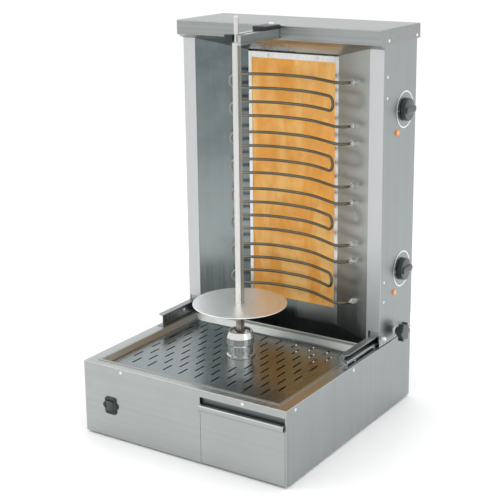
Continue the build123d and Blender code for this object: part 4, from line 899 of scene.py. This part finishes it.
class ROTISSERIE_OT_fittings(Operator):
    """Screw, bolt, nut and rivet heads, and blocks and knobs with rounded edges"""

    bl_idname = "rotisserie.fittings"
    bl_label = "Fittings"

    def execute(self, context):
        finish = bpy.data.materials["bright_zinc"]
        self.base_heads(finish)
        self.tower_heads(finish)
        softened("knob_upper", "control_knob_upper", 0.0012)
        softened("knob_lower", "control_knob_lower", 0.0012)
        softened("clamp_knob", "clamp", 0.0015)
        softened("switch_rocker", "rocker", 0.0004, segments=2)
        softened("bearing_jaw", "arm", 0.0008, segments=2)
        softened("arm_guide_block", "tower", 0.001)
        return {"FINISHED"}

    def base_heads(self, finish):
        """Casing screws, rail bolts and rail rivets."""
        front, side, bolts, rivets = [], [], [], []
        for low, high in solids_of("base_fasteners"):
            centre = (low + high) / 2
            outward = 1.0 if centre.x > 0 else -1.0
            if low.y < front_face:
                front.append((Vector((centre.x, front_face, centre.z)), (0.0, -1.0, 0.0)))
            elif max(abs(low.x), abs(high.x)) > side_face:
                side.append((Vector((outward * side_face, centre.y, centre.z)), (outward, 0.0, 0.0)))
            elif high.x - low.x > 0.004:
                seat = high.z - RAIL_BOLT["Height"]
                bolts.append((Vector((centre.x, centre.y, seat)), (0.0, 0.0, 1.0)))
            else:
                seat = max(abs(low.x), abs(high.x))
                rivets.append((Vector((outward * seat, centre.y, centre.z)), (-outward, 0.0, 0.0)))
        screws = stand_heads(front + side, finish, **SCREW_HEAD)
        hexes = stand_heads(bolts, finish, **RAIL_BOLT)
        domes = stand_heads(rivets, finish, **RIVET_HEAD)
        piece = joined("base_heads", [screws, hexes, domes])
        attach(piece, "base")
        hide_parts("base_fasteners")

    def tower_heads(self, finish):
        """Arm screw, frame screws, hood and bracket rivets, clamp nut and shoe bolts."""
        screws, rivets, small, hexes, studs, nut, arm = [], [], [], [], [], [], []
        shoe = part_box("slide_shoes")
        for low, high in solids_of("tower_fasteners"):
            centre = (low + high) / 2
            outward = 1.0 if centre.x > 0 else -1.0
            reach = max(abs(low.x), abs(high.x))
            aim = (outward, 0.0, 0.0)

            def on_side(seat):
                return (Vector((outward * seat, centre.y, centre.z)), aim)

            if high.z > hood_high.z - 0.02 and abs(centre.x) < 0.02:
                seat = high.z - ARM_SCREW["Height"]
                arm.append((Vector((centre.x, centre.y, seat)), (0.0, 0.0, 1.0)))
            elif abs(centre.x) < 0.2:
                seat = low.y + SCREW_HEAD["Height"]
                screws.append((Vector((centre.x, seat, centre.z)), (0.0, -1.0, 0.0)))
            elif high.y - low.y > 0.015:
                nut.append(on_side(side_face))
            elif high.y - low.y > 0.01:
                rear = centre.y > (shoe[0].y + shoe[1].y) / 2
                hexes.append(on_side(side_face if rear else side_face + SHOE_NUT_STAND_OFF))
                length = STUD_FRONT
                if rear:
                    length = STUD_REAR_CLAMP_SIDE if outward > 0 else STUD_REAR_OTHER_SIDE
                studs.append((on_side(side_face), length))
            elif reach > hood_high.x:
                rivets.append(on_side(hood_high.x))
            else:
                small.append(on_side(side_face))
        made = [
            stand_heads(screws, finish, **SCREW_HEAD),
            stand_heads(rivets, finish, **RIVET_HEAD),
            stand_heads(small, finish, **SMALL_RIVET),
            stand_heads(hexes, finish, **SHOE_NUT),
            stand_heads(nut, finish, **CLAMP_NUT),
            stand_heads(arm, finish, **ARM_SCREW),
        ]
        for seat, length in studs:
            made.append(stand_heads([seat], finish, Height=length, **STUD))
        piece = joined("tower_heads", made)
        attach(piece, "tower")
        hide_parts("tower_fasteners")


class ROTISSERIE_OT_stage(Operator):
    """Pale floor, soft lights and camera"""

    bl_idname = "rotisserie.stage"
    bl_label = "Stage"

    def execute(self, context):
        look = context.scene.rotisserie_stage
        scene = context.scene
        scene.view_settings.view_transform = "Standard"
        self.floor(look)
        self.sky(scene, look)
        self.lamp("key_softbox", (-2.6, -2.6, 3.0), (2.6, 2.0), look.key)
        self.lamp("fill_softbox", (3.2, -0.6, 2.2), (2.0, 2.6), look.key * 0.45)
        self.lamp("top_softbox", (0.3, 0.6, 3.6), (2.4, 2.0), look.key * 0.4)
        camera = bpy.data.cameras.new("stage_camera")
        camera.lens = look.lens
        camera.sensor_width = 36.0
        camera.shift_y = look.shift
        holder = bpy.data.objects.new("stage_camera", camera)
        scene.collection.objects.link(holder)
        place = Vector(look.camera_place)
        sight = Vector(look.camera_target) - place
        holder.location = place
        holder.rotation_mode = "QUATERNION"
        roll = Quaternion(Vector((0, 0, 1)), look.camera_roll)
        holder.rotation_quaternion = sight.to_track_quat("-Z", "Y") @ roll
        scene.camera = holder
        return {"FINISHED"}

    def floor(self, look):
        """A wide flat floor with a faint unevenness."""
        mesh = bpy.data.meshes.new("stage_floor")
        half = 20.0
        corners = [(-half, -half, 0), (half, -half, 0), (half, half, 0), (-half, half, 0)]
        mesh.from_pydata(corners, [], [(0, 1, 2, 3)])
        material, web, shader = new_material("pale_floor")
        cloud = use(web, smudges(), Scale=1.5, Contrast=0.3)["Value"]
        tone = web.blend(cloud, shade(look.floor_colour, 0.985), tuple(look.floor_colour))
        finish_surface(web, shader, tone, web.ramp(cloud, 0.0, 1.0, 0.55, 0.65))
        mesh.materials.append(material)
        link("stage_floor", mesh)

    def sky(self, scene, look):
        """Even surrounding light, brighter overhead."""
        world = bpy.data.worlds.new("studio")
        world.use_nodes = True
        scene.world = world
        web = Web(world.node_tree)
        background = world.node_tree.nodes["Background"]
        direction = web.add("ShaderNodeTexCoord").outputs["Generated"]
        rise = web.add("ShaderNodeSeparateXYZ", {0: direction}).outputs[2]
        tone = web.blend(web.ramp(rise, -0.1, 0.9), (0.98, 0.985, 0.99), (1.0, 1.0, 1.0))
        web.tree.links.new(tone, background.inputs["Color"])
        background.inputs["Strength"].default_value = look.sky

    def lamp(self, name, place, size, power):
        """One rectangular soft light aimed at the oven."""
        light = bpy.data.lights.new(name, "AREA")
        light.shape = "RECTANGLE"
        light.size, light.size_y = size
        light.energy = power
        holder = bpy.data.objects.new(name, light)
        holder.location = place
        aim = Vector((0, 0, 0.5)) - Vector(place)
        holder.rotation_mode = "QUATERNION"
        holder.rotation_quaternion = aim.to_track_quat("-Z", "Y")
        bpy.context.scene.collection.objects.link(holder)


class ROTISSERIE_PT_sidebar(Panel):
    """Sidebar panel that lists the steps"""

    bl_idname = "ROTISSERIE_PT_sidebar"
    bl_label = "Rotisserie oven"
    bl_space_type = "VIEW_3D"
    bl_region_type = "UI"
    bl_category = "Rotisserie"

    def draw(self, context):
        for step in STEPS:
            self.layout.operator(step.bl_idname)


SETTINGS = {
    "rotisserie_steel": SteelSettings,
    "rotisserie_heater": HeaterSettings,
    "rotisserie_plastic": PlasticSettings,
    "rotisserie_stage": StageSettings,
}
STEPS = (
    ROTISSERIE_OT_casing,
    ROTISSERIE_OT_heating_bay,
    ROTISSERIE_OT_tray_and_spit,
    ROTISSERIE_OT_machinery,
    ROTISSERIE_OT_controls,
    ROTISSERIE_OT_fittings,
    ROTISSERIE_OT_stage,
)


def register():
    """Register the classes and hang the settings on the scene."""
    for kind in (*SETTINGS.values(), *STEPS, ROTISSERIE_PT_sidebar):
        bpy.utils.register_class(kind)
    for name, kind in SETTINGS.items():
        setattr(bpy.types.Scene, name, PointerProperty(type=kind))


def unregister():
    """Undo register."""
    for name in SETTINGS:
        delattr(bpy.types.Scene, name)
    for kind in reversed((*SETTINGS.values(), *STEPS, ROTISSERIE_PT_sidebar)):
        bpy.utils.unregister_class(kind)


def main():
    """Run every step."""
    register()
    bpy.ops.rotisserie.casing()
    bpy.ops.rotisserie.heating_bay()
    bpy.ops.rotisserie.tray_and_spit()
    bpy.ops.rotisserie.machinery()
    bpy.ops.rotisserie.controls()
    bpy.ops.rotisserie.fittings()
    bpy.ops.rotisserie.stage()


if __name__ == "__main__":
    main()
